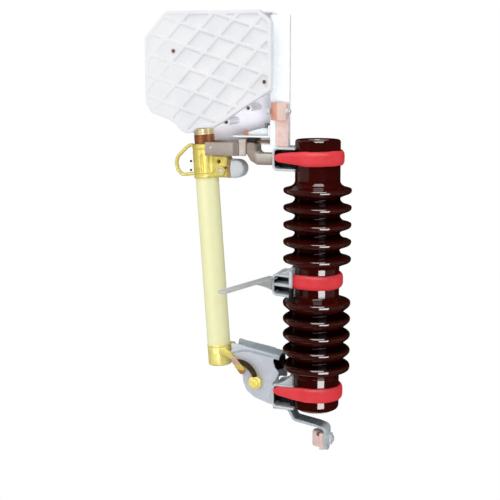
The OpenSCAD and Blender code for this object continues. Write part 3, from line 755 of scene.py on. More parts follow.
# Near-black: painted shade inside the clamps.
CLAMP_HOLLOW_SHADE = dark_metal("painted_shade_pocket", (52, 56, 60), (26, 28, 31))
PIN_WHITE = turned_metal("bare_pin", (236, 236, 228), (206, 204, 194), 0.3, "Y")


# ------------------------------------------------------------------ porcelain post

SHED_TAIL = 0.12
WALL_FOOT = 15.2
FOOT_BEND = 5.6
BRIM_BEND = 3


class ShedGroup(NamedTuple):
    """Five sheds. Above and below each rim, how far it reaches and how squarely it falls away;
    the faces next to the clamps fall away sooner. pool is the band over each rim where shade is painted dark."""
    rims: list
    core_r: float
    above: list
    below: list
    pool: tuple


SHED_GROUPS = [
    ShedGroup(rims=[68.7 + 21.1 * k for k in range(5)], core_r=32.8, pool=(4.6, 11.0),
              above=4 * [(6.5, 2.8)] + [(6.0, 4.5)], below=[(8.3, 4.6)] + 4 * [(8.4, 2.8)]),
    ShedGroup(rims=[213.3 + 22.5 * k for k in range(5)], core_r=NECK_R, pool=(5.6, 10.0),
              above=5 * [(2.7, 1.6)], below=5 * [(8.3, 5.4)]),
]


def shed_bulge(height, reach, power):
    """1 at a shed's rim and falling to 0 away from it: 1 / (1 + (height / reach)^power), with
    its long tail cut off."""
    height = np.maximum(height, 0)
    return np.maximum(1 / (1 + (height / reach) ** power) - SHED_TAIL, 0) / (1 - SHED_TAIL)


def post_radius(z):
    """The post's radius at each height: the neck or the thicker foot, or the sheds' bulges over
    the core."""
    radius = np.where(z < FOOT_TOP, FOOT_R, NECK_R)
    for group in SHED_GROUPS:
        core = np.where((z > group.rims[0]) & (z < group.rims[-1]), group.core_r, NECK_R)
        for rim, above, below in zip(group.rims, group.above, group.below):
            bulge = np.minimum(shed_bulge(z - rim, *above), shed_bulge(rim - z, *below))
            radius = np.maximum(radius, core + (SHED_R - core) * bulge)
    return radius


def post_profile():
    """(radius, height) up the post: foot, neck with the sheds' bulges, and the top's shallow dish."""
    z = np.arange(WALL_FOOT, POST_TOP - 3.4, 0.15)
    wall = np.stack([post_radius(z), z], axis=1)
    turn = np.radians(np.arange(-75, 0, 15))
    foot_x, brim_x = FOOT_R - FOOT_BEND, NECK_R - BRIM_BEND
    foot = np.stack([foot_x + FOOT_BEND * np.cos(turn), WALL_FOOT + FOOT_BEND * np.sin(turn)], axis=1)
    turn = np.radians(np.arange(0, 91, 15))
    brim_z = POST_TOP - BRIM_BEND
    brim = np.stack([brim_x + BRIM_BEND * np.cos(turn), brim_z + BRIM_BEND * np.sin(turn)], axis=1)
    dish = [(20.4, POST_TOP), (19.6, POST_TOP - 0.3), (18.9, POST_TOP - 1.4), (17.5, POST_TOP - 3.4),
            (16.4, POST_TOP - 4), (0, POST_TOP - 4)]
    under = [(0, WALL_FOOT - FOOT_BEND), (foot_x, WALL_FOOT - FOOT_BEND)]
    steps = np.vstack([under, foot, wall, brim, dish])
    return smooth(resample(steps, 0.5), 1.8)


def rim_wear(points):
    """1 on the sheds' rims, falling away inwards."""
    radius = np.hypot(points[:, 0], points[:, 1])
    return steps_up(radius, SHED_R - 3.4, 3.2) ** 1.5


def valley_shade_band(points, last=0.0):
    """1 in a band over each shed, where the slope meets the post and shade is painted dark, fading
    to 0 above and below it; over each group's last shed it is last."""
    mottle_and_shade = np.zeros(len(points))
    for group in SHED_GROUPS:
        low, high = group.pool
        for rim in group.rims:
            over = points[:, 2] - rim
            band = steps_up(over, low - 4, 4) * steps_up(over, high + 2.6, -2.6)
            mottle_and_shade = np.maximum(mottle_and_shade, band * (last if rim == group.rims[-1] else 1))
    return mottle_and_shade


post = frame_piece("porcelain_post", lathe(post_profile(), around=84), GLAZE, "insulator", 80)
give_value(post, "rim", rim_wear)
# Where shade is painted between the sheds, and where the glaze's reflection is cut.
give_value(post, "valley", valley_shade_band)
give_value(post, "dull", lambda points: valley_shade_band(points, 0.6))
dish = [(0, POST_TOP - 3.9), (16.2, POST_TOP - 3.9), (17.4, POST_TOP - 3.2), (18.3, POST_TOP - 1.9),
        (18.0, POST_TOP - 3.6), (16.5, POST_TOP - 4.6), (0, POST_TOP - 4.6)]
frame_piece("bare_top", lathe(dish, around=72), CLAY)
foot = [(14, 10.0), (14, 8.2), (14.6, 7.6), (22.3, 7.6), (22.9, 8.2), (22.9, 10.0)]
frame_piece("bare_foot", lathe(foot + foot[:1], around=72), CLAY, "foot_ring")


# ------------------------------------------------------------------ straps

def hairpin_path(end_x, post_r):
    """Half a circle round the post, then two straight legs that close in by LEG_TURN."""
    mid_r = post_r + 0.4 + STRAP_T / 2
    angle = np.linspace(-math.pi / 2 - LEG_TURN, math.pi / 2 + LEG_TURN, 91)
    ring = mid_r * np.stack([np.cos(angle), np.sin(angle)], axis=1)
    leg_len = (end_x - mid_r * math.sin(LEG_TURN)) / math.cos(LEG_TURN)
    ahead = np.array([-math.cos(LEG_TURN), -math.sin(LEG_TURN)])
    leg = ring[-1] + np.linspace(0, leg_len, 34)[1:, None] * ahead
    return np.vstack([leg[::-1] * [1, -1], ring, leg])


def hairpin(z, end_x, post_r, tip_len, taper, seed):
    """A thick coated strap: a crowned section on a hairpin path, lower towards its two round
    ends, with slow uneven waves of the dipped coat."""
    path = hairpin_path(end_x, post_r)
    run = np.concatenate([[0], np.cumsum(np.linalg.norm(np.diff(path, axis=0), axis=1))])
    back = np.minimum(run, run[-1] - run)
    leg_len = run[33]
    height = STRAP_H * (1 - taper * np.clip(1 - back / leg_len, 0, 1) ** 1.2)
    tip = np.sqrt(1 - (1 - np.clip(back / tip_len, 0.02, 1)) ** 2)
    half_t, half_h = STRAP_T / 2, 0.5
    crown = np.linspace(-1, 1, 21)
    section = [(half_t - 2.7 * abs(c) ** 4, half_h * c) for c in crown]
    section += [(-half_t + 0.7, half_h), (-half_t, 0.42), (-half_t, -0.42), (-half_t + 0.7, -half_h)]
    section = np.array(section) * [-1, 1]
    phases = np.random.default_rng(seed).uniform(0, 6.28, 6)
    wave = 1 + 0.012 * np.sin(run / 6.1 + phases[0]) + 0.010 * np.sin(run / 3.3 + phases[1])
    points, faces = sweep(path, section, XY, across=0.35 + 0.65 * tip, along=height * tip * wave, middle=z)
    drift = 0.22 * np.sin(points[:, 0] / 9 + phases[2]) + 0.16 * np.sin(points[:, 1] / 6 + phases[3])
    points[:, 2] += drift
    return points, faces


# Each strap's height, leg end, post radius, length of its rounded ends, taper and seed.
STRAP_LEVELS = {
    "top": (343.5, WEB_X - 3.3, NECK_R, 7, 0.48, 3),
    "mid": (184, 23.9, NECK_R, 0.5, 0, 5),
    "bottom": (34.5, WEB_X - 3.3, FOOT_R, 7, 0.48, 8),
}
for name, level in STRAP_LEVELS.items():
    frame_piece(f"red_strap_{name}", hairpin(*level), RED, f"strap_{name}", 60)


# ------------------------------------------------------------------ clamps

CLAMP_WALL = 3.0
CLAMP_BEND = 5.5
WEB_HALF = 20.0
FLANGE_X = -24.0
EAR_X = (-28, -24)


def flange_end(y):
    """The X at which a flange ends at each Y: FLANGE_X, or the post's surface if that is further out."""
    return np.minimum(FLANGE_X, -np.sqrt(np.maximum((NECK_R + 0.35) ** 2 - y ** 2, 0)))


def clamp_sheet(z0, z1, flare_half):
    """The casting's C: from the post along a flange, round the web and back, drawn as the
    middle of its wall. It widens from the web's half width to flare_half at the flanges' ends."""
    low, high = z0 + CLAMP_WALL / 2, z1 - CLAMP_WALL / 2
    back = -WEB_X + CLAMP_WALL / 2
    bend_x = back + CLAMP_BEND
    turn = np.linspace(0, math.pi / 2, 9)[1:]
    reach = np.linspace(0, 1, 12)
    # Down the C: X, Z and the share of the flange's length that is added to X.
    spine = [(bend_x, high, 1 - share) for share in reach]
    spine += [(bend_x - CLAMP_BEND * math.sin(a), high - CLAMP_BEND * (1 - math.cos(a)), 0) for a in turn]
    spine += [(back, z, 0) for z in np.linspace(high - CLAMP_BEND, low + CLAMP_BEND, 8)[1:]]
    spine += [(bend_x - CLAMP_BEND * math.cos(a), low + CLAMP_BEND * (1 - math.sin(a)), 0) for a in turn]
    spine += [(bend_x, low, share) for share in reach[1:]]
    x, z, share = np.array(spine).T[..., None]
    across = np.linspace(-1, 1, 33)
    x = x + share * (flange_end(across * flare_half) - bend_x)
    half = WEB_HALF + (flare_half - WEB_HALF) * steps_up(x, -WEB_X, WEB_X + FLANGE_X)
    points = np.stack([x, half * across, np.broadcast_to(z, x.shape)], axis=-1)
    return points.reshape(-1, 3), grid_faces(*x.shape)


def post_rib(half, low, high):
    """A level rib that fills the space between the web and the post."""
    y = np.linspace(-half, half, 17)
    outline = [(-54.5, -WEB_HALF), *zip(flange_end(y), y), (-54.5, WEB_HALF)]
    return plate(outline, low, high, XY, 0.8)


def saddle(z0, z1, post_r):
    """The part of the casting that lies on the post, rounded along its upper edge."""
    inner, outer = post_r + 0.3, post_r + 3.7
    profile = [(inner, z0), (outer - 0.6, z0), (outer, z0 + 0.6), (outer, z1 - 1.5), (outer - 1.4, z1),
               (inner, z1)]
    half = math.asin(18 / outer)
    around = 25
    points, faces = lathe(profile + profile[:1], around=around, start=math.pi - half, turn=2 * half)
    ends = [[k * around + column for k in range(len(profile))] for column in (0, around - 1)]
    return points, faces.tolist() + ends


def side_gusset(z1, top):
    """One of the two upright webs between the upper flange and the saddle, hollowed in front."""
    rise = np.linspace(0, 1, 12)
    foot = z1 - 1.2
    front = np.stack([-54 + 24 * rise ** 0.7, foot + (top - z1) * rise ** 1.3], axis=1)
    return plate(np.vstack([front, [(-27, top - 0.6)], [(-27, foot)]]), 15, 18, XZ, 0.7)


def bolt_head(x0, x1, y, z, radius, turn=0.0):
    """A six-sided head along X with its end face turned down at the corners."""
    return plate(hexagon((y, z), radius, turn), x0, x1, YZ, 0.5)


# Each clamp's foot and head, half width at its flanges' ends, saddle top and post radius.
CLAMPS = {
    "top": (326.5, 357, 25, 357, NECK_R),
    "mid": (162.8, 192, 31, 201, NECK_R),
    "bottom": (10.5, 43, 25, 55.5, FOOT_R),
}
for name, (z0, z1, flare, top, post_r) in CLAMPS.items():
    frame_piece(f"clamp_shell_{name}", clamp_sheet(z0, z1, flare), ZINC, f"clamp_{name}", 50,
                wall=CLAMP_WALL, bevel=0.7)
    # Near-black sheets of painted shade in the clamp's hollows: a core, a liner on the web, the mid clamp's
    # lower ears and the other clamps' saddles.
    core = [(-53.5, z0 + 2), (-31, z0 + 2), (-31, z1 - 2), (-53.5, z1 - 2)]
    liner = [(-18.5, z0 + 3.2), (18.5, z0 + 3.2), (18.5, z1 - 3.2), (-18.5, z1 - 3.2)]
    inside = [panel(core, 1.0, -2, 2), panel(liner, 1.0, -52.6, -52.0, YZ, 0.2)]
    ribs = []
    if name == "mid":
        ear = [(25, 176), (35.6, 176), (35.6, 199), (25, 199)]
        low_ear = [(25, 162.8), (35.6, 162.8), (35.6, 176.5), (25, 176.5)]
        ribs += [saddle(z0 + 3.2, top, post_r), post_rib(flare, 176, 179.6),
                 both_sides(panel(ear, 3, *EAR_X, YZ, 0.7))]
        inside.append(both_sides(panel(low_ear, 2, *EAR_X, YZ, 0.7)))
    else:
        inside.append(saddle(z0 + 3.2, z1 - 3.1, post_r))
    if name == "bottom":
        ribs.append(saddle(z1 - 0.5, top, post_r))
    if top > z1:
        ribs.append(both_sides(side_gusset(z1, top)))
    if ribs:
        frame_piece(f"clamp_ribs_{name}", joined(*ribs), ZINC, angle=40)
    # Painted shade: the dark sheets inside the clamp.
    frame_piece(f"clamp_inside_{name}", joined(*inside), CLAMP_HOLLOW_SHADE, angle=40)


# ------------------------------------------------------------------ mounting arm

ARM_LEN, ARM_W, ARM_T = 124.0, 13.0, 3.0
STEM_LEN = 58.0
ARM_ROOT = np.array([-WEB_X, -11, 185.5])
ARM_TURN = math.radians(255)


def on_arm(part):
    """Turns and moves a part drawn along X so that it runs out from the middle clamp."""
    points, faces = part
    c, s = math.cos(ARM_TURN), math.sin(ARM_TURN)
    x, y, z = points.T
    return np.stack([x * c - y * s, x * s + y * c, z], axis=1) + ARM_ROOT, faces


def arm_bar():
    """The flat bar with its round end and bolt hole."""
    half = ARM_W / 2
    angle = np.linspace(-math.pi / 2, math.pi / 2, 17)
    tip = np.stack([ARM_LEN - half + half * np.cos(angle), half * np.sin(angle)], axis=1)
    outline = np.vstack([[(1.5, -half)], tip, [(1.5, half)]])
    return plate(outline, -ARM_T / 2, ARM_T / 2, XY, 0.8, [circle((ARM_LEN - 11, 0), 4.25, 32)])


def arm_stem():
    """The upright rib under the bar: its depth falls along the arm in a hollow curve, and it
    widens into the bar with a fillet."""
    along = np.linspace(0, STEM_LEN, 40)
    depth = 1.2 + 17.3 * (1 - along / STEM_LEN) ** 1.5
    turn = np.linspace(0, math.pi / 2, 6)
    rows = []
    for s, d in zip(along, depth):
        fillet = min(3.2, d * 0.5)
        right = np.stack([2.2 + fillet * (1 - np.sin(turn)), -1.0 - fillet * (1 - np.cos(turn))], axis=1)
        foot = np.array([(2.0, -d + 0.8), (1.3, -d), (-1.3, -d), (-2.0, -d + 0.8)])
        ring = np.vstack([[(2.2 + fillet, 0.6)], right, foot, right[::-1] * [-1, 1], [(-2.2 - fillet, 0.6)]])
        rows.append(np.column_stack([np.full(len(ring), s), ring]))
    count = len(rows[0])
    faces = grid_faces(len(rows), count, wrap=True).tolist()
    faces += [list(range(count)), list(range((len(rows) - 1) * count, len(rows) * count))]
    return np.concatenate(rows), faces


frame_piece("arm_casting", on_arm(joined(arm_bar(), arm_stem())), ARM_ZINC, "mounting_arm", 42)


# ------------------------------------------------------------------ frame above the post

FRAME_FOOT = 357
CHANNEL_FRONT = -10.0
RISER_FRONT = -13.4
SADDLE_FOOT, SADDLE_HEAD, SADDLE_FOLD_X = 391, 413.5, -49.2
SCREW_AT = (-18, 402.5)
SHELF_Z = (368, 370.4)
SPACER_Z = (361.5, 368)

channel = [(-62, -3), (-62, CHANNEL_FRONT), (-36, CHANNEL_FRONT), (-36, -3), (-38.5, -3),
           (-38.5, -7.5), (-59.5, -7.5), (-59.5, -3)]
frame_piece("upright_channel", panel(channel, 1.6, FRAME_FOOT, CHUTE_TOP - 6, XY, 0.4),
            PALE_ZINC, "frame_channel", 40)
strip = [(-53, FRAME_FOOT), (-35.5, FRAME_FOOT), (-35.5, 414), (-53, 414)]
frame_piece("copper_riser", panel(strip, 2.0, RISER_FRONT, CHANNEL_FRONT, XZ, 0.8),
            PINK_COPPER, "riser_strip", 40)
fold = [(-58.5, RISER_FRONT), (-58.5, -16.8), (-48.5, -21.4), (-38, -18.4), (-38, RISER_FRONT)]
riser_saddle = frame_piece("riser_saddle", panel(fold, 1.2, SADDLE_FOOT, SADDLE_HEAD, XY, 0.9, 4),
                           SALMON, "riser_clamp", 30)
# Painted light: right of the fold the saddle's face is lighter, as lit, than its salmon face.
give_value(riser_saddle, "pale", lambda points: steps_up(points[:, 0], SADDLE_FOLD_X, 1.2))
screw = joined(disc(SCREW_AT, 4.4, -38, -34, YZ, 1.0, 28), disc(SCREW_AT, 3.0, -34.2, -31.5, YZ, 0.6),
               bolt_head(-63, -58.5, *SCREW_AT, 5.2, 0.3))
frame_piece("riser_screw", screw, PALE_BOLT, "riser_bolt", 30)

shelf = panel([(-114, -10), (-62, -10), (-62, 12), (-114, 12)], 2.5, *SHELF_Z, XY, 0.6)
upright = panel([(-10, 368), (12, 368), (12, 384), (-10, 384)], 2.0, -64.4, -62, YZ, 0.6)
web = panel([(-110, 370.2), (-63.5, 370.2), (-63.5, 380), (-76, 380)], 1.2, -2, 1, XZ, 0.6)
frame_piece("reach_bracket", joined(shelf, upright, web), ZINC, "gusset", 40)
stem = [(0, 370.4), (5.3, 370.4), (5.3, 372.4), (4.7, 374), (4.0, 377), (3.2, 383), (2.7, 385.8),
        (2.2, 386.2), (0, 386.3)]
frame_piece("bracket_bolt", lathe(stem, (-70.2, 6.4, 0), around=28), GREY_STEEL, "gusset_bolt", 30)
nut_at = (-97, 0)
nut = joined(plate(hexagon(nut_at, 4.6, 0.4), 370.3, 375, XY, 0.5), disc(nut_at, 2.4, 375, 377.4, XY, 0.5))
frame_piece("bracket_nut", nut, SALMON)
block = [(-93, SPACER_Z[0]), (-80, SPACER_Z[0]), (-80, SPACER_Z[1]), (-93, SPACER_Z[1])]
frame_piece("dark_spacer", panel(block, 1.0, -11, 11, XZ, 0.8), DARK, "contact_block", 35)
link_bar = [(-80, SPACER_Z[0]), (-62, SPACER_Z[0]), (-62, 363.9), (-80, 363.9)]
frame_piece("copper_link_strip", panel(link_bar, 0.8, -9, 9, XZ, 0.6), BROWN_COPPER, "contact_strip", 35)


# ------------------------------------------------------------------ upper contact

FINGER_Z, FINGER_H, FINGER_T = 352.75, 17.5, 1.6
RIVET_AT = (-140, 354)


def blade_shade_and_dark_end(points):
    """1 along the blade's lower edge, where shade is painted, and at its outer end, which is darker."""
    return steps_up(points[:, 2], 341.5, -2) + steps_up(points[:, 0], -78, -4)


blade = [(-93, 361.5), (-80.5, 361.5), (-80.5, 351), (-77, 347.5), (-WEB_X, 347.5), (-WEB_X, 333),
         (-78, 333), (-87, 338), (-93, 348)]
bent_blade = frame_piece("bent_blade", panel(blade, 4, -14, 14, XZ, 1.3, 7), BLADE, "contact_blade", 38)
# Painted shade along the lower edge; the outer end is darker too.
give_value(bent_blade, "worn", blade_shade_and_dark_end)

# In plan: beside the head, a slight bow, then in to the clip.
finger_path = rounded([(-148, 17.8), (-116, 17.8), (-109.5, 18.4), (-103.6, 16.6), (-103.4, 11)],
                      2.4, 6, closed=False)
rivet = [(0, 20.2), (1.4, 20.1), (2.2, 19.6), (2.6, 18.9), (2.6, 17.4), (0, 17.4)]
finger_section = box_section(FINGER_T, FINGER_H, 0.6)
for name, side in SIDES:
    strip = sweep(resample(finger_path, 1.0) * [1, side], finger_section, XY, middle=FINGER_Z)
    frame_piece(f"spring_finger_{name}", strip, CONTACT, f"finger_{name}", 35)
    frame_piece(f"finger_rivet_{name}", on_pin(rivet, RIVET_AT, 20, side), PIN_WHITE)
clip = [(-16, 344), (-16, 366), (16, 366), (16, 344), (13, 344), (13, 361.5), (-13, 361.5), (-13, 344)]
frame_piece("finger_bridge", panel(clip, 2.2, -102.4, -93, YZ, 0.7), TINNED_CLIP, "finger_clip", 40)


# ------------------------------------------------------------------ arc chute

CHUTE_POINTS = [(-225, 413), (-216.5, 399), (-193, 391.3), (-183, 384.5), (-176, 377), (-169.5, 373.3),
                (-160.5, 374), (-154.5, 380), (-131, 381.5), (-117, 389), (-91, 406.5), (-53, 430),
                (-53, CHUTE_TOP - 14), (-70, CHUTE_TOP), (-196, CHUTE_TOP), (-225, CHUTE_TOP - 34)]
BACKING_Y = (21.9, 24)
BOSS_FRONT = -24
BOSS_SPOTS = [(-62, 440), (-86.5, 406.5), (-116.5, 388)]
OUTER_SCREW = (-185, 479)
CELL_CORNER = np.array([-131.0, 418.75])
CELL_RIGHT = np.array([26.0, -8.5])
CELL_UP = np.array([19.8, 20.8])
RIB_HALF = 1.75
CELL_DEPTH = 2.3
LEAST_CELL = 22.0
CLOSEST = 0.4
SMOOTH_FROM = -190.0


def clipped(subject, window):
    """The part of a loop inside a convex anticlockwise window, cut along one side at a time."""
    out = list(subject)
    for a, b in zip(window, np.roll(window, -1, axis=0)):
        inward = np.array([a[1] - b[1], b[0] - a[0]])
        kept = []
        for p, q in zip(out, out[1:] + out[:1]):
            dp, dq = (p - a) @ inward, (q - a) @ inward
            if dp >= 0:
                kept.append(p)
            if (dp >= 0) != (dq >= 0):
                kept.append(p + (q - p) * dp / (dp - dq))
        out = kept
        if len(out) < 3:
            return None
    return np.array(out)


def spaced_out(loop):
    """The loop without points that lie very close to the one before."""
    kept = [loop[0]]
    for p in loop[1:]:
        if np.linalg.norm(p - kept[-1]) > CLOSEST:
            kept.append(p)
    if np.linalg.norm(kept[0] - kept[-1]) <= CLOSEST:
        kept.pop()
    return np.array(kept)


def chute_cells(outline):
    """The recessed rhombs between two families of ribs, cut off along the raised border."""
    border = inset(anticlockwise(outline), 4.6)
    toward = np.linalg.norm(CELL_RIGHT), np.linalg.norm(CELL_UP)
    sine = abs(CELL_RIGHT[0] * CELL_UP[1] - CELL_RIGHT[1] * CELL_UP[0]) / (toward[0] * toward[1])
    s, t = RIB_HALF / sine / toward[0], RIB_HALF / sine / toward[1]
    cells = []
    for i in range(-9, 9):
        for j in range(-9, 9):
            square = [(i + s, j + t), (i + 1 - s, j + t), (i + 1 - s, j + 1 - t), (i + s, j + 1 - t)]
            rhomb = anticlockwise([CELL_CORNER + u * CELL_RIGHT + v * CELL_UP for u, v in square])
            cell = clipped(border, rhomb)
            if cell is None:
                continue
            cell = spaced_out(cell)
            if len(cell) > 2 and loop_area(cell) >= LEAST_CELL:
                cells.append(anticlockwise(rounded(cell, 1.6, 4)))
    return cells


def chute_side(side):
    """One moulded half: a face with sunk cells, a rim turned in round it and a flat inner wall.
    Each cell's loop goes down a quarter-round lip, a drafted wall and a fillet to its floor."""
    outline = anticlockwise(rounded(CHUTE_POINTS, 7, 6))
    cells = chute_cells(outline)
    quarter = np.linspace(0, math.pi / 2, 5)
    rings, faces, first = [], [], 0

    def carry(loop, steps):
        """Carries the loop through (inset, Y) steps. Returns its first and last points' numbers."""
        nonlocal first
        rings.extend(spread(inset(loop, d), side * y, XZ) for d, y in steps)
        faces.extend((first + grid_faces(len(steps), len(loop), wrap=True)).tolist())
        start = first
        first += len(steps) * len(loop)
        return np.arange(start, start + len(loop)), np.arange(first - len(loop), first)

    lip = 1.3
    outer = [(lip * (1 - math.sin(a)), CHUTE_FACE - lip * (1 - math.cos(a))) for a in quarter]
    outer += [(0.0, 24.4), (0.4, 24.0), (2.2, 24.0), (2.6, 24.4), (2.9, 29.2), (3.6, 30.0)]
    border_first, inner_last = carry(outline, outer)
    face_numbers = [border_first]
    for cell in cells:
        # The cells grow shallow towards the smooth outer end.
        fade = np.clip((cell[:, 0].mean() - SMOOTH_FROM) / 24, 0.22, 1)
        down = [(-0.3 * (1 - math.sin(a)), 0.4 * (1 - math.cos(a))) for a in quarter[:4]]
        down += [(0.15, 0.6 * CELL_DEPTH), (0.45, 0.88 * CELL_DEPTH), (1.1, CELL_DEPTH)]
        cell_first, cell_last = carry(cell, [(d, CHUTE_FACE - fade * sunk) for d, sunk in down])
        face_numbers.append(cell_first)
        faces += cell_last[fill([cell])].tolist()
    numbers = np.concatenate(face_numbers)
    faces += numbers[fill([outline, *cells])].tolist()
    faces += inner_last[fill([outline])].tolist()
    return np.concatenate(rings), faces


for name, side in SIDES:
    frame_piece(f"chute_shell_{name}", chute_side(side), WHITE, f"chute_{name}", 50)

backing = [(-150, 357), (-62, 357), (-62, 505), (-110, 505), (-150, 400)]
frame_piece("laminate_plate", panel(backing, 4, *BACKING_Y, XZ, 0.5), PLATE, "chute_plate", 40)


def boss(at, low, high):
    """A moulded boss: a cylinder along Y with a rounded collar at its outer end."""
    profile = [(0, low), (3.9, low), (4.4, low + 0.5), (4.5, low + 1.4), (4.5, low + 4), (4.2, low + 4.6),
               (4.2, high), (0, high)]
    return on_pin(profile, at)


def pan_screw(at, face_y):
    """A domed screw head, with a cross recess cut as four dips round its middle."""
    angle = np.linspace(0, 2 * math.pi, 40, endpoint=False)
    radius = np.array([0.0, 0.5, 0.9, 1.2, 1.5, 1.8, 2.1, 2.35, 2.4, 0.0])
    dome = np.array([1.9, 1.88, 1.84, 1.76, 1.62, 1.36, 0.9, 0.4, -0.5, -0.5])
    arm = np.exp(-(np.sin(2 * angle)[None, :] * radius[:, None] / 0.5) ** 2)
    dip = 0.9 * arm * (radius < 1.8)[:, None]
    points = np.empty((len(radius), len(angle), 3))
    points[..., 0] = at[0] + radius[:, None] * np.cos(angle)
    points[..., 1] = face_y - (dome[:, None] - dip)
    points[..., 2] = at[1] + radius[:, None] * np.sin(angle)
    return points.reshape(-1, 3), grid_faces(len(radius), len(angle), wrap=True)


short_boss, *long_bosses = BOSS_SPOTS
bosses = [boss(short_boss, BOSS_FRONT, -10)] + [boss(at, BOSS_FRONT, BACKING_Y[0]) for at in long_bosses]
frame_piece("chute_posts", joined(*bosses), BOSS, "chute_bosses", 30)
screws = joined(*[pan_screw(at, -CHUTE_FACE) for at in (short_boss, OUTER_SCREW)])
frame_piece("chute_screw_heads", screws, RUSTY, "chute_screws", 35)
screw_ends = joined(*[disc(at, 2.4, BOSS_FRONT - 1, BOSS_FRONT + 0.5, XZ, 0.5) for at in long_bosses])
frame_piece("boss_screw_ends", screw_ends, RUSTY)


# ------------------------------------------------------------------ lower hinge

HOOD_HALF = 15.05
CHEEK_Y = (12.0, 14.95)
LIP_Y = (12.1, 14.9)
HOLLOW_Y = (10.6, 11.9)

# The channel in the side view: along its top, down round the hollow to the clamp, and back
# along the lower edge.
cheek = panel([(-113, 84), (-98, 87.6), (-87, 87.7), (-53, 81.4), (-55, 72), (-52.5, 63.5), (-46.5, 57.2),
               (-52, 46), (-55.4, 43), (-55.4, 12.4), (-62, 14), (-81, 20.5), (-92, 29), (-97, 40),
               (-98, 50), (-101, 58), (-112, 64), (-116, 78)],
              4.5, *CHEEK_Y, XZ, 0.8, 7, [circle(PIVOT, 4.05, 32)])
hood_path = resample(rounded([(-112, 84.0), (-98, 88.2), (-87, 88.3), (-46, 80.9)], 8, 7, closed=False), 1.5)
hood = rounded([(0.15, -HOOD_HALF), (0.15, HOOD_HALF), (-7, HOOD_HALF), (-7, 12), (-3, 12), (-3, -12),
                (-7, -12), (-7, -HOOD_HALF)], 3.2, 7)
# The hood's top is painted darker than the cheeks, as shade.
frame_piece("hinge_hood", sweep(hood_path, hood, XZ), SHADED_HINGE_ZINC, "hinge_channel", 40)
frame_piece("hinge_cheeks", both_sides(cheek), CHEEK_ZINC, angle=40)
near_lip = [(-113.2, 83), (-114, 92.8), (-101, 91.2), (-86, 87.4), (-86, 83)]
far_lip = [(-113, 84), (-111.5, 93.5), (-104, 91.5), (-60, 83.9), (-60, 80)]
frame_piece("hinge_near_lip", mirrored(panel(near_lip, 1.6, *LIP_Y, XZ, 0.7, 4)), CHEEK_ZINC, angle=40)
# The far lip is painted darker than the near one, as shade.
frame_piece("hinge_far_lip", panel(far_lip, 1.6, *LIP_Y, XZ, 0.7, 4), SHADED_HINGE_ZINC, angle=40)
# A near-black sheet and its rolled edge: painted shade in the hollow of the hinge channel.
hollow = panel([(-62, 80.5), (-50.5, 80), (-45.4, 76), (-45, 68), (-45.4, 60), (-50, 54.5), (-62, 56)],
               4, *HOLLOW_Y, XZ, 0.4, 7)
rolled = resample(rounded([(-50.5, 79.5), (-57, 77), (-57.5, 66), (-50.5, 58.5)], 4, 6, closed=False), 1.0)
frame_piece("hinge_scoop", joined(hollow, sweep(rolled, box_section(1.2, 23, 0.4, 3), XZ)), HINGE_HOLLOW_SHADE, angle=40)
# A grey plate inside the channel below the hollow, darker than the cheeks as painted shade.
gusset = [(-56, 58), (-47, 58), (-42.5, 51), (-42.5, 46), (-56, 46)]
frame_piece("hinge_far_gusset", panel(gusset, 2, *HOLLOW_Y, XZ, 0.4),
            GREY_STEEL, angle=40, slot="galvanised_steel")
axle = [(0, -19.3), (3.4, -19.3), (4, -18.7), (4, 19.8), (6.4, 19.8), (7, 20.4), (7, 22.2), (6.4, 22.8),
        (0, 22.8)]
frame_piece("hinge_axle", on_pin(axle, PIVOT, 36), BRIGHT_BRASS, "hinge_pin", 30)


# ------------------------------------------------------------------ lower terminal

STRAP_END_R = 12.5
TERMINAL_AT = (0, -31)
SADDLE_INNER = 14.5


def strap_lit_faces(points):
    """1 on the strap's outer end and on its near edge, which are painted lighter as lit faces."""
    return np.maximum(steps_up(points[:, 0], 9, 6), steps_up(points[:, 1], -12.2, -0.6))


s_corners = [(-WEB_X, 8.5), (-34.5, 8.5), (-26.5, -6), (3.5, -11.5), (16.5, -15.3), (16.5, -46)]
s_path = resample(rounded(s_corners, 6, 9, closed=False), 1.2)
to_end = np.concatenate([np.cumsum(np.linalg.norm(np.diff(s_path, axis=0), axis=1)[::-1])[::-1], [0]])
round_end = np.sqrt(1 - (1 - np.clip(to_end / STRAP_END_R, 0.04, 1)) ** 2)
terminal_strap = frame_piece("terminal_strap",
                             sweep(s_path, box_section(4, 25, 1.2, 5), XZ, along=round_end, middle=-0.5),
                             STRAP_ZINC, "lower_strap", 40)
# Painted light on the near edge and outer end; the broad side stays slate as painted shade.
give_value(terminal_strap, "pale", strap_lit_faces)
saddle_bar = [(SADDLE_INNER, -9.5), (7.6, -9.5), (7.6, 11), (SADDLE_INNER, 11)]
saddle_lobe = [(8.2, -8.4), (3.5, -8.4), (-3, -4), (-4, 4), (2, 10), (8.2, 10)]
saddle_part = joined(panel(saddle_bar, 1.2, -45.5, -22.5, XY, 1.2),
                     panel(saddle_lobe, 2.2, -42.6, -20.5, XY, 3.0, 6))
frame_piece("copper_saddle", saddle_part, PINK_COPPER, "lower_terminal", 35)
# A dark brown disc on the copper: painted shade for the wire hole's dark inside.
wire_eye = [(0, 9.9), (2.6, 9.9), (3.1, 9.6), (3.1, 9.2), (0, 9.2)]
frame_piece("wire_hole", lathe(wire_eye, (6.4, 1.4, -24.2), -Y_AXIS, 32), RUSTY, slot="pink_copper")
nut = joined(disc(TERMINAL_AT, 9.5, 18.5, 20, YZ, 0.4, 40), bolt_head(20.05, 23.5, *TERMINAL_AT, 8, 0.2),
             disc(TERMINAL_AT, 4, 23.3, 25.5, YZ, 0.9, 28))
frame_piece("strap_nut", nut, PALE_BOLT, "lower_bolt", 30)


# ------------------------------------------------------------------ fuse holder

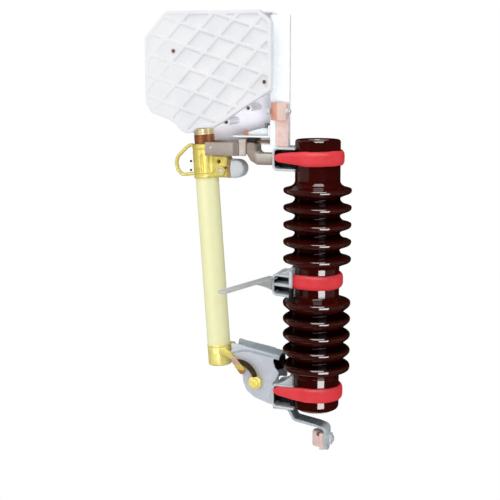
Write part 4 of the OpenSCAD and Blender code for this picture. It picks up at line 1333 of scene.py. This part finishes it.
BORE_R = 10.4
TUBE_LOW = 8.0
HEAD_TOP = CASTING_Z + CASTING_H
SLEEVE_R = 13.4
SLEEVE_TOP = HEAD_TOP + 12


def on_tube(profile, around=72):
    """A profile turned about the leaning tube's axis, with heights from the tube's foot."""
    return lathe(profile, TUBE_FOOT, TUBE_UP, around)


tube_wall = [(BORE_R, TUBE_LOW + 0.6), (BORE_R + 0.6, TUBE_LOW), (TUBE_R - 0.6, TUBE_LOW)]
tube_wall += [(TUBE_R, height) for height in np.linspace(TUBE_LOW + 0.6, HEAD_TOP - 2, 90)]
tube_wall += [(TUBE_R - 0.6, HEAD_TOP - 1.4), (BORE_R + 0.6, HEAD_TOP - 1.4), (BORE_R, HEAD_TOP - 2),
              (BORE_R, TUBE_LOW + 0.6)]
holder_piece("glass_tube", on_tube(tube_wall, 96), TUBE, "fuse_tube", 50)
sleeve_wall = [(BORE_R, HEAD_TOP + 0.5), (BORE_R + 0.5, HEAD_TOP), (SLEEVE_R - 0.5, HEAD_TOP),
               (SLEEVE_R, HEAD_TOP + 0.5), (SLEEVE_R, SLEEVE_TOP - 0.5), (SLEEVE_R - 0.5, SLEEVE_TOP),
               (BORE_R + 0.5, SLEEVE_TOP), (BORE_R, SLEEVE_TOP - 0.5), (BORE_R, HEAD_TOP + 0.5)]
holder_piece("copper_sleeve", on_tube(sleeve_wall), SLEEVE_COPPER, "tube_sleeve", 40)
cap_steps = [(0, 0), (12.9, 0), (SLEEVE_R, 0.5), (SLEEVE_R, 2.2), (13.0, 2.7), (SLEEVE_R, 3.2),
             (SLEEVE_R, 7.6), (12.6, 8.6), (11.8, 9), (4, 9), (3.4, 8.4), (0, 8.4)]
holder_piece("tube_end_cap", on_tube([(r, SLEEVE_TOP + h) for r, h in cap_steps]), CAP_BRASS, "tube_cap", 35)


GROOVE_BEARINGS = np.radians([-90, -53, 53, 90])
GROOVE_DEPTH, GROOVE_HALF = 1.7, 1.75


def fluted_head():
    """The head casting: a sleeve with four upright grooves between a rolled collar and a ring
    turned in near its top. radius = wall - depth * bump(angle) * bump(height)."""
    rows = np.concatenate([np.linspace(0, 8, 13), np.linspace(8.8, 35, 30),
                           np.linspace(36, CASTING_H - 1, 12)])
    angle = np.linspace(0, 2 * math.pi, 144, endpoint=False)
    radius = np.full((len(rows), len(angle)), CASTING_R)
    for depth, height, width in [(0.9, 5.0, 1.1), (-0.5, 2.2, 1.6), (0.7, CASTING_H - 7.5, 1.0)]:
        radius -= depth * np.exp(-((rows - height) / width) ** 2)[:, None]
    window = 1 / (1 + np.exp(-(rows - 8) / 0.7)) / (1 + np.exp((rows - 30) / 1.0))
    for bearing in GROOVE_BEARINGS:
        gap = (angle - bearing + math.pi) % (2 * math.pi) - math.pi
        radius -= GROOVE_DEPTH * np.exp(-(gap * CASTING_R / GROOVE_HALF) ** 4)[None, :] * window[:, None]
    side = X_AXIS - TUBE_UP * TUBE_UP[0]
    side = side / np.linalg.norm(side)
    ahead = np.cross(TUBE_UP, side)
    spoke = np.cos(angle)[:, None] * side + np.sin(angle)[:, None] * ahead
    wall = TUBE_FOOT + (CASTING_Z + rows)[:, None, None] * TUBE_UP + radius[..., None] * spoke
    # Over the top and down inside: to the tube's wall above its end, then to the foot.
    inside = [(CASTING_R - 0.9, CASTING_H), (11, CASTING_H), (11, CASTING_H - 2.1),
              (TUBE_R + 0.05, CASTING_H - 2.1), (TUBE_R + 0.05, 0)]
    rings = [TUBE_FOOT + (CASTING_Z + height) * TUBE_UP + r * spoke for r, height in inside]
    points = np.concatenate([wall.reshape(-1, 3), *rings])
    return points, grid_faces(len(rows) + len(rings), len(angle), wrap=True, wrap_rows=True)


holder_piece("head_sleeve", fluted_head(), CAST_BRASS, "head_casting", 45)

ring_path = rounded([(-158, 351.5), (-166, 353.6), (-174.5, 356.2), (-180.3, 353), (-193.3, 340),
                     (-195.7, 332), (-193.4, 322.2), (-186.8, 315.8), (-166, 318.5), (-158, 320)],
                    5, 8, closed=False)
holder_piece("hook_ring", sweep(resample(ring_path, 1.2), box_section(4.4, 5.2, 1.7, 5), XZ),
             BRIGHT_BRASS, "pull_ring", 40)
stud = [(0, 3.6), (0.9, 3.5), (1.5, 3.0), (1.6, 2.0), (0, 2.0)]
holder_piece("ring_rivets", joined(*[on_pin(stud, at, 18, -1) for at in RING_RIVETS]), DARK)


# ------------------------------------------------------------------ latch

NOSE_X, NOSE_Z, NOSE_R = -109.0, 326.4, 12.0
NOSE_BACK = -116.9

latch_holes = [circle((-132, 335.5), 2.6, 24), circle((-122.5, 327.5), 1.7, 20), circle(LATCH_PIN, 3.65, 28)]
latch = [(-148, 343), (-121, 343), (-117, 334), (-119, 314.5), (-148, 314.5)]
holder_piece("latch_casting", panel(latch, 4, -10, 10, XZ, 1.4, 6, latch_holes), CAST_BRASS, "latch_arm", 40)
axle = [(0, -13), (2.9, -13), (3.5, -12.4), (3.6, -11.8), (3.6, 11.8), (3.5, 12.4), (2.9, 13), (0, 13)]
holder_piece("latch_axle", on_pin(axle, LATCH_PIN), PIN_WHITE, "latch_pin", 35)
turn = np.linspace(-math.pi / 2, math.pi / 2, 25)
nose = np.vstack([[(NOSE_BACK, NOSE_Z - NOSE_R)],
                  np.stack([NOSE_X + NOSE_R * np.cos(turn), NOSE_Z + NOSE_R * np.sin(turn)], axis=1),
                  [(NOSE_BACK, NOSE_Z + NOSE_R)]])
holder_piece("latch_nose", plate(nose, -11.6, 11.6, XZ, 2.6), ZINC, "latch_tongue", 40)
# Brown plates at the nose's back edge: painted shade in the gap between the brass and the nose.
side_plate = [(-120.6, 314.6), (-113.6, 314.6), (-116.4, NOSE_Z), (-113.6, 338.2), (-120.6, 338.2)]
holder_piece("latch_side_plates", both_sides(panel(side_plate, 1.5, 10.1, 11.5)), LATCH_SHADE_BRASS, angle=40)
collar = [(3.7, 11.55), (3.7, 12.4), (4.1, 12.7), (5.6, 12.7), (6.2, 12.1), (6.2, 11.55), (3.7, 11.55)]
collars = joined(*[on_pin(collar, LATCH_PIN, side=side) for _, side in SIDES])
holder_piece("latch_collars", collars, CAST_BRASS)


# ------------------------------------------------------------------ ferrule, trunnion and link

ARC_CENTRE = np.array([-105, 43])
ARM_ARC_R, BRAID_ARC_R = 26.6, 27.9
EYE_R = 9.0
CLAMP_TOP, CLAMP_LONG = 76, 23
TRUNNION_Y = (15.8, 19.8)

ferrule = [(BORE_R, 0.6), (11, 0), (14.2, 0), (15.2, 0.6), (15.7, 1.8), (15.7, 2.6), (15.35, 3.0),
           (15.35, 3.6), (15.7, 4.0), (15.7, 24.6), (15.5, 25.0), (15.9, 25.6), (15.9, 27.2), (15.6, 28),
           (15.42, 28), (15.42, 8.1), (BORE_R, 8.1), (BORE_R, 0.6)]
holder_piece("lower_ferrule", on_tube(ferrule, 80), POLISHED, "ferrule", 35)


def bow(radius, first, last, count):
    """Points of an arc about ARC_CENTRE between two bearings, in degrees."""
    angle = np.radians(np.linspace(first, last, count))
    return ARC_CENTRE + radius * np.stack([np.cos(angle), np.sin(angle)], axis=1)


def ribbon(path, widths):
    """The outline of a flat band: each point of the path moved to both sides by half its width."""
    path = np.asarray(path, dtype=float)
    ahead = np.gradient(path, axis=0)
    ahead = ahead / np.linalg.norm(ahead, axis=1, keepdims=True)
    normal = np.stack([-ahead[:, 1], ahead[:, 0]], axis=1)
    half = np.asarray(widths)[:, None] / 2
    return np.vstack([path + normal * half, (path - normal * half)[::-1]])


def eye_arm():
    """A trunnion arm seen from the side: it leaves the ferrule, bends down round an arc and
    ends in a round eye on the pin."""
    lead = np.array([(-124, 82.5), (-119.5, 80), (-115, 77), (-109.5, 72.6)])
    path = resample(np.vstack([lead, bow(ARM_ARC_R, 88, 4, 22)]), 1.5)
    path = path[np.linalg.norm(path - np.array(PIVOT), axis=1) > EYE_R + 0.6]
    share = np.linspace(0, 1, len(path))
    band = ribbon(path, 4.4 + 4.6 * np.exp(-((share - 0.12) / 0.12) ** 2))
    turn = np.radians(np.linspace(62, -242, 31))
    eye = np.array(PIVOT) + EYE_R * np.stack([np.cos(turn), np.sin(turn)], axis=1)
    return np.vstack([band[:len(path)], eye, band[len(path):]])


ear = panel([(-130, 87), (-118.5, 86.5), (-117.5, 76), (-130, 76)], 3, 8, 19.6, XZ, 1.4)
for name, side in SIDES:
    arm = joined(plate(eye_arm(), *TRUNNION_Y, XZ, 0.9, [circle(PIVOT, 4.1, 32)]), ear)
    holder_piece(f"trunnion_{name}", mirrored(arm) if side < 0 else arm,
                 BRIGHT_BRASS, f"trunnion_arm_{name}", 40)

clamp = [(-112.5, 74), (-106, 76.5), (-98, 68), (-91.5, 60.5), (-92.5, 54), (-98, 53), (-104.5, 61)]
link_clamp_bar = holder_piece("link_clamp_bar", panel(clamp, 2, -23.8, -TRUNNION_Y[1], XZ, 0.9, 4),
                              LINK_CLAMP, "link_clamp", 35)
give_value(link_clamp_bar, "down", lambda points: steps_up(points[:, 2], CLAMP_TOP, -CLAMP_LONG))

braid = resample(bow(BRAID_ARC_R, 84, 16, 30), 1.0)
braid_swell = 0.8 + 0.3 * np.sin(np.linspace(0, 1, len(braid)) * 2.6)
holder_piece("fuse_link_braid",
             sweep(braid, box_section(7.0, 3.4, 1.5, 5), XZ, across=braid_swell, middle=-21.5),
             BRAID, "link_tail", 50)


SLOT_BEARING = math.radians(-40)
SLOT_DEPTH, SLOT_HALF = 1.5, 0.95


def slotted_nut():
    """A round flanged nut: its head's face drops into a straight slot across the middle."""
    angle = np.linspace(0, 2 * math.pi, 72, endpoint=False)
    radius = np.array([0.0, 0.8, 1.6, 2.4, 3.2, 4.0, 4.7, 5.2, 5.6, 5.6, 5.6, 7.9, 8.4, 8.6, 8.6, 8.4, 0.0])
    height = np.array([6.0, 6.0, 6.0, 6.0, 6.0, 6.0, 5.9, 5.6, 5.0, 3.6, 2.3, 2.2, 2.0, 1.6, 0.5, 0.0, 0.0])
    away = radius[:, None] * np.sin(angle - SLOT_BEARING)
    slot = (np.abs(away) < SLOT_HALF) & (height[:, None] > 4.5)
    points = np.empty((len(radius), len(angle), 3))
    points[..., 0] = PIVOT[0] + radius[:, None] * np.cos(angle)
    points[..., 1] = -TRUNNION_Y[1] - height[:, None] + SLOT_DEPTH * slot
    points[..., 2] = PIVOT[1] + radius[:, None] * np.sin(angle)
    return points.reshape(-1, 3), grid_faces(len(radius), len(angle), wrap=True)


holder_piece("link_nut", slotted_nut(), BRIGHT_BRASS, "link_screw", 30)


# ------------------------------------------------------------------ camera

CAMERA_TURN = 18.0
CAMERA_DIP = 9.3
CAMERA_FAR = 1.530
AIM = ORIGIN + np.array([-92, 0, 218]) * MM


def direction(azimuth, elevation):
    """The unit vector towards a place: azimuth turns from -Y towards +X, elevation from level."""
    a, e = math.radians(azimuth), math.radians(elevation)
    return np.array([math.sin(a) * math.cos(e), -math.cos(a) * math.cos(e), math.sin(e)])


def place_facing(holder, target, distance, azimuth, elevation):
    """Puts a camera or lamp at a bearing from the target and turns it to face the target."""
    holder.location = (target + distance * direction(azimuth, elevation)).tolist()
    holder.rotation_euler = (math.radians(90 - elevation), 0, math.radians(azimuth))
    bpy.context.scene.collection.objects.link(holder)


camera_data = bpy.data.cameras.new("camera")
camera_data.lens = 82.8
camera_data.sensor_width = 36
camera = bpy.data.objects.new("camera", camera_data)
place_facing(camera, AIM, CAMERA_FAR, CAMERA_TURN, CAMERA_DIP)
bpy.context.scene.camera = camera
bpy.context.scene.view_settings.view_transform = "Standard"


# ------------------------------------------------------------------ lamps

LOW_ON_POST = ORIGIN + np.array([0, 0, -30]) * MM
MID_POST = ORIGIN + np.array([0, 0, 200]) * MM


def soft_light(name, turn, elevation, distance, width, height, level, pieces=(), target=AIM,
               glossy=False, diffuse=True):
    """An area lamp, turn degrees round from the camera, that lights only the named pieces or
    else all. level is the brightness that it gives a white card facing it, so the lamp's power
    is level * pi * distance^2."""
    lamp = bpy.data.lights.new(name, "AREA")
    lamp.shape = "RECTANGLE"
    lamp.size, lamp.size_y = width, height
    lamp.energy = level * math.pi * distance ** 2
    holder = bpy.data.objects.new(name, lamp)
    place_facing(holder, target, distance, CAMERA_TURN + turn, elevation)
    holder.visible_camera = False
    holder.visible_glossy = glossy
    holder.visible_diffuse = diffuse
    if pieces:
        group = bpy.data.collections.new(name + "_pieces")
        for piece in pieces:
            group.objects.link(bpy.data.objects[piece])
        holder.light_linking.receiver_collection = group


# Lamps that only show as highlights.
sheen = functools.partial(soft_light, glossy=True, diffuse=False)

POST = ["porcelain_post"]
STRAPS = [f"red_strap_{name}" for name in STRAP_LEVELS]
NOT_METAL = {*POST, *STRAPS, "chute_shell_near", "chute_shell_far", "laminate_plate"}
METAL = [piece.name for piece in bpy.data.objects if piece.type == "MESH" and piece.name not in NOT_METAL]
BRASS = ["lower_ferrule", "head_sleeve", "tube_end_cap", "link_nut"]
BEHIND_CHUTE = ["laminate_plate", "chute_posts", "reach_bracket", "upright_channel"]

soft_light("key_upper_left", -38, 58, 1.7, 1.0, 0.7, 0.62)
soft_light("strip_right", 20, 6, 1.6, 0.16, 0.9, 0.10)
soft_light("fill_left", -75, 10, 1.8, 0.5, 1.2, 0.08)
soft_light("card_for_brass", -14, 6, 1.5, 0.5, 1.4, 1.0, BRASS, glossy=True)
soft_light("fill_for_tube", 42, 4, 1.5, 0.8, 1.6, 0.32, ["glass_tube"])
soft_light("fill_behind_chute", 10, -5, 1.6, 0.8, 0.8, 2.5, BEHIND_CHUTE)
sheen("strip_for_glaze", 22, 0, 0.75, 0.44, 0.40, 5.2, POST, LOW_ON_POST)
sheen("low_card_left_for_glaze", -82, -9, 1.5, 2.0, 0.5, 0.16, POST, MID_POST)
sheen("low_card_right_for_glaze", 72, -13, 1.5, 1.6, 0.3, 0.06, POST, MID_POST)
sheen("upper_card_for_glaze", 3, 50, 1.5, 1.0, 1.3, 9.0, POST, MID_POST)
sheen("wide_card_for_straps", -10, 42, 1.5, 2.4, 0.5, 3.2, STRAPS, MID_POST)
sheen("card_left_for_metal", -45, 15, 1.6, 1.2, 1.6, 1.1, METAL)
sheen("card_right_for_metal", 52, 8, 1.6, 0.5, 1.6, 0.6, METAL)
sheen("card_top_for_metal", 0, 62, 1.6, 1.2, 0.8, 0.8, METAL)


# ------------------------------------------------------------------ white surround and floor

FLOOR_Z = ORIGIN[2] - 0.30
FLOOR_HALF = 9.0
SURROUND_LIGHT = 0.8


def seen_directly(tree):
    """1 for what the camera, mirrors and glass see, and 0 for the light that falls on things."""
    path = tree.nodes.new("ShaderNodeLightPath")
    seen = path.outputs["Is Camera Ray"]
    for ray in ("Is Glossy Ray", "Is Transmission Ray"):
        either = tree.nodes.new("ShaderNodeMath")
        either.operation = "MAXIMUM"
        tree.links.new(seen, either.inputs[0])
        tree.links.new(path.outputs[ray], either.inputs[1])
        seen = either.outputs[0]
    return seen


def mixed_shaders(tree, factor, first, second):
    """The output of a mix of two shaders."""
    mix = tree.nodes.new("ShaderNodeMixShader")
    for socket, value in zip(mix.inputs, (factor, first, second)):
        tree.links.new(value, socket)
    return mix.outputs[0]


def white_world():
    """A world that looks white and gives a little less light than it shows."""
    world = bpy.data.worlds.new("studio")
    bpy.context.scene.world = world
    world.use_nodes = True
    tree = world.node_tree
    light = tree.nodes["Background"]
    shown = tree.nodes.new("ShaderNodeBackground")
    for shader, strength in ((light, SURROUND_LIGHT), (shown, 1.0)):
        shader.inputs["Color"].default_value = (1.0, 1.0, 1.0, 1.0)
        shader.inputs["Strength"].default_value = strength
    surface = mixed_shaders(tree, seen_directly(tree), light.outputs[0], shown.outputs[0])
    tree.links.new(surface, tree.nodes["World Output"].inputs["Surface"])


def floor_material():
    """A pale matt floor that glows white away from the object, so that it joins the backdrop."""
    paint = Paint("pale_floor", 0.9, Specular_IOR_Level=0.1)
    paint.shader.inputs["Base Color"].default_value = (0.93, 0.93, 0.93, 1)
    tree = paint.tree
    glow = tree.nodes.new("ShaderNodeEmission")
    glow.inputs["Strength"].default_value = 1.0
    distance = paint.node("ShaderNodeVectorMath", 1, operation="LENGTH", links={0: paint.place})
    far = paint.ramp(distance, 0.35, 1.0, 0.25, 0.7)
    factor = paint.calc("MULTIPLY", seen_directly(tree), far)
    surface = mixed_shaders(tree, factor, paint.shader.outputs[0], glow.outputs[0])
    tree.links.new(surface, tree.nodes["Material Output"].inputs["Surface"])
    return paint.material


def stage_mesh(name, points, faces, material):
    """A mesh that belongs to the stage and not to the object."""
    mesh = bpy.data.meshes.new(name)
    mesh.from_pydata([tuple(point) for point in points], [], faces)
    mesh.materials.append(material)
    made = bpy.data.objects.new(name, mesh)
    bpy.context.scene.collection.objects.link(made)
    return made


white_world()
floor_corners = [(FLOOR_HALF * x, FLOOR_HALF * y, FLOOR_Z) for x, y in ((-1, -1), (1, -1), (1, 1), (-1, 1))]
stage_mesh("floor", floor_corners, [[0, 1, 2, 3]], floor_material())


# ------------------------------------------------------------------ dark flags

FLAG_R = 2.6
FLAG_BEARINGS = np.linspace(CAMERA_TURN - 180, CAMERA_TURN + 180, 31)


def black_card(name, rows):
    """A dark sheet on a grid of points, which only glossy surfaces see. It gives metal and
    glaze their dark reflections in a white surround."""
    paint = Paint(name, 1.0, Specular_IOR_Level=0.0)
    paint.shader.inputs["Base Color"].default_value = (0.01, 0.01, 0.01, 1)
    points = np.array(rows)
    card = stage_mesh(name, points.reshape(-1, 3), grid_faces(*points.shape[:2]).tolist(), paint.material)
    card.visible_camera = False
    card.visible_diffuse = False
    card.visible_transmission = False
    card.visible_shadow = False


# A dome round the object, and a ring just over the floor.
black_card("black_flag", [[AIM + FLAG_R * direction(bearing, rise) for bearing in FLAG_BEARINGS]
                          for rise in np.linspace(-32, 88, 16)])
over_floor = np.array([AIM[0], AIM[1], FLOOR_Z + 0.005])
black_card("floor_flag", [[over_floor + reach * direction(bearing, 0) for bearing in FLAG_BEARINGS]
                          for reach in (0.12, 0.6, 1.4, FLAG_R)])
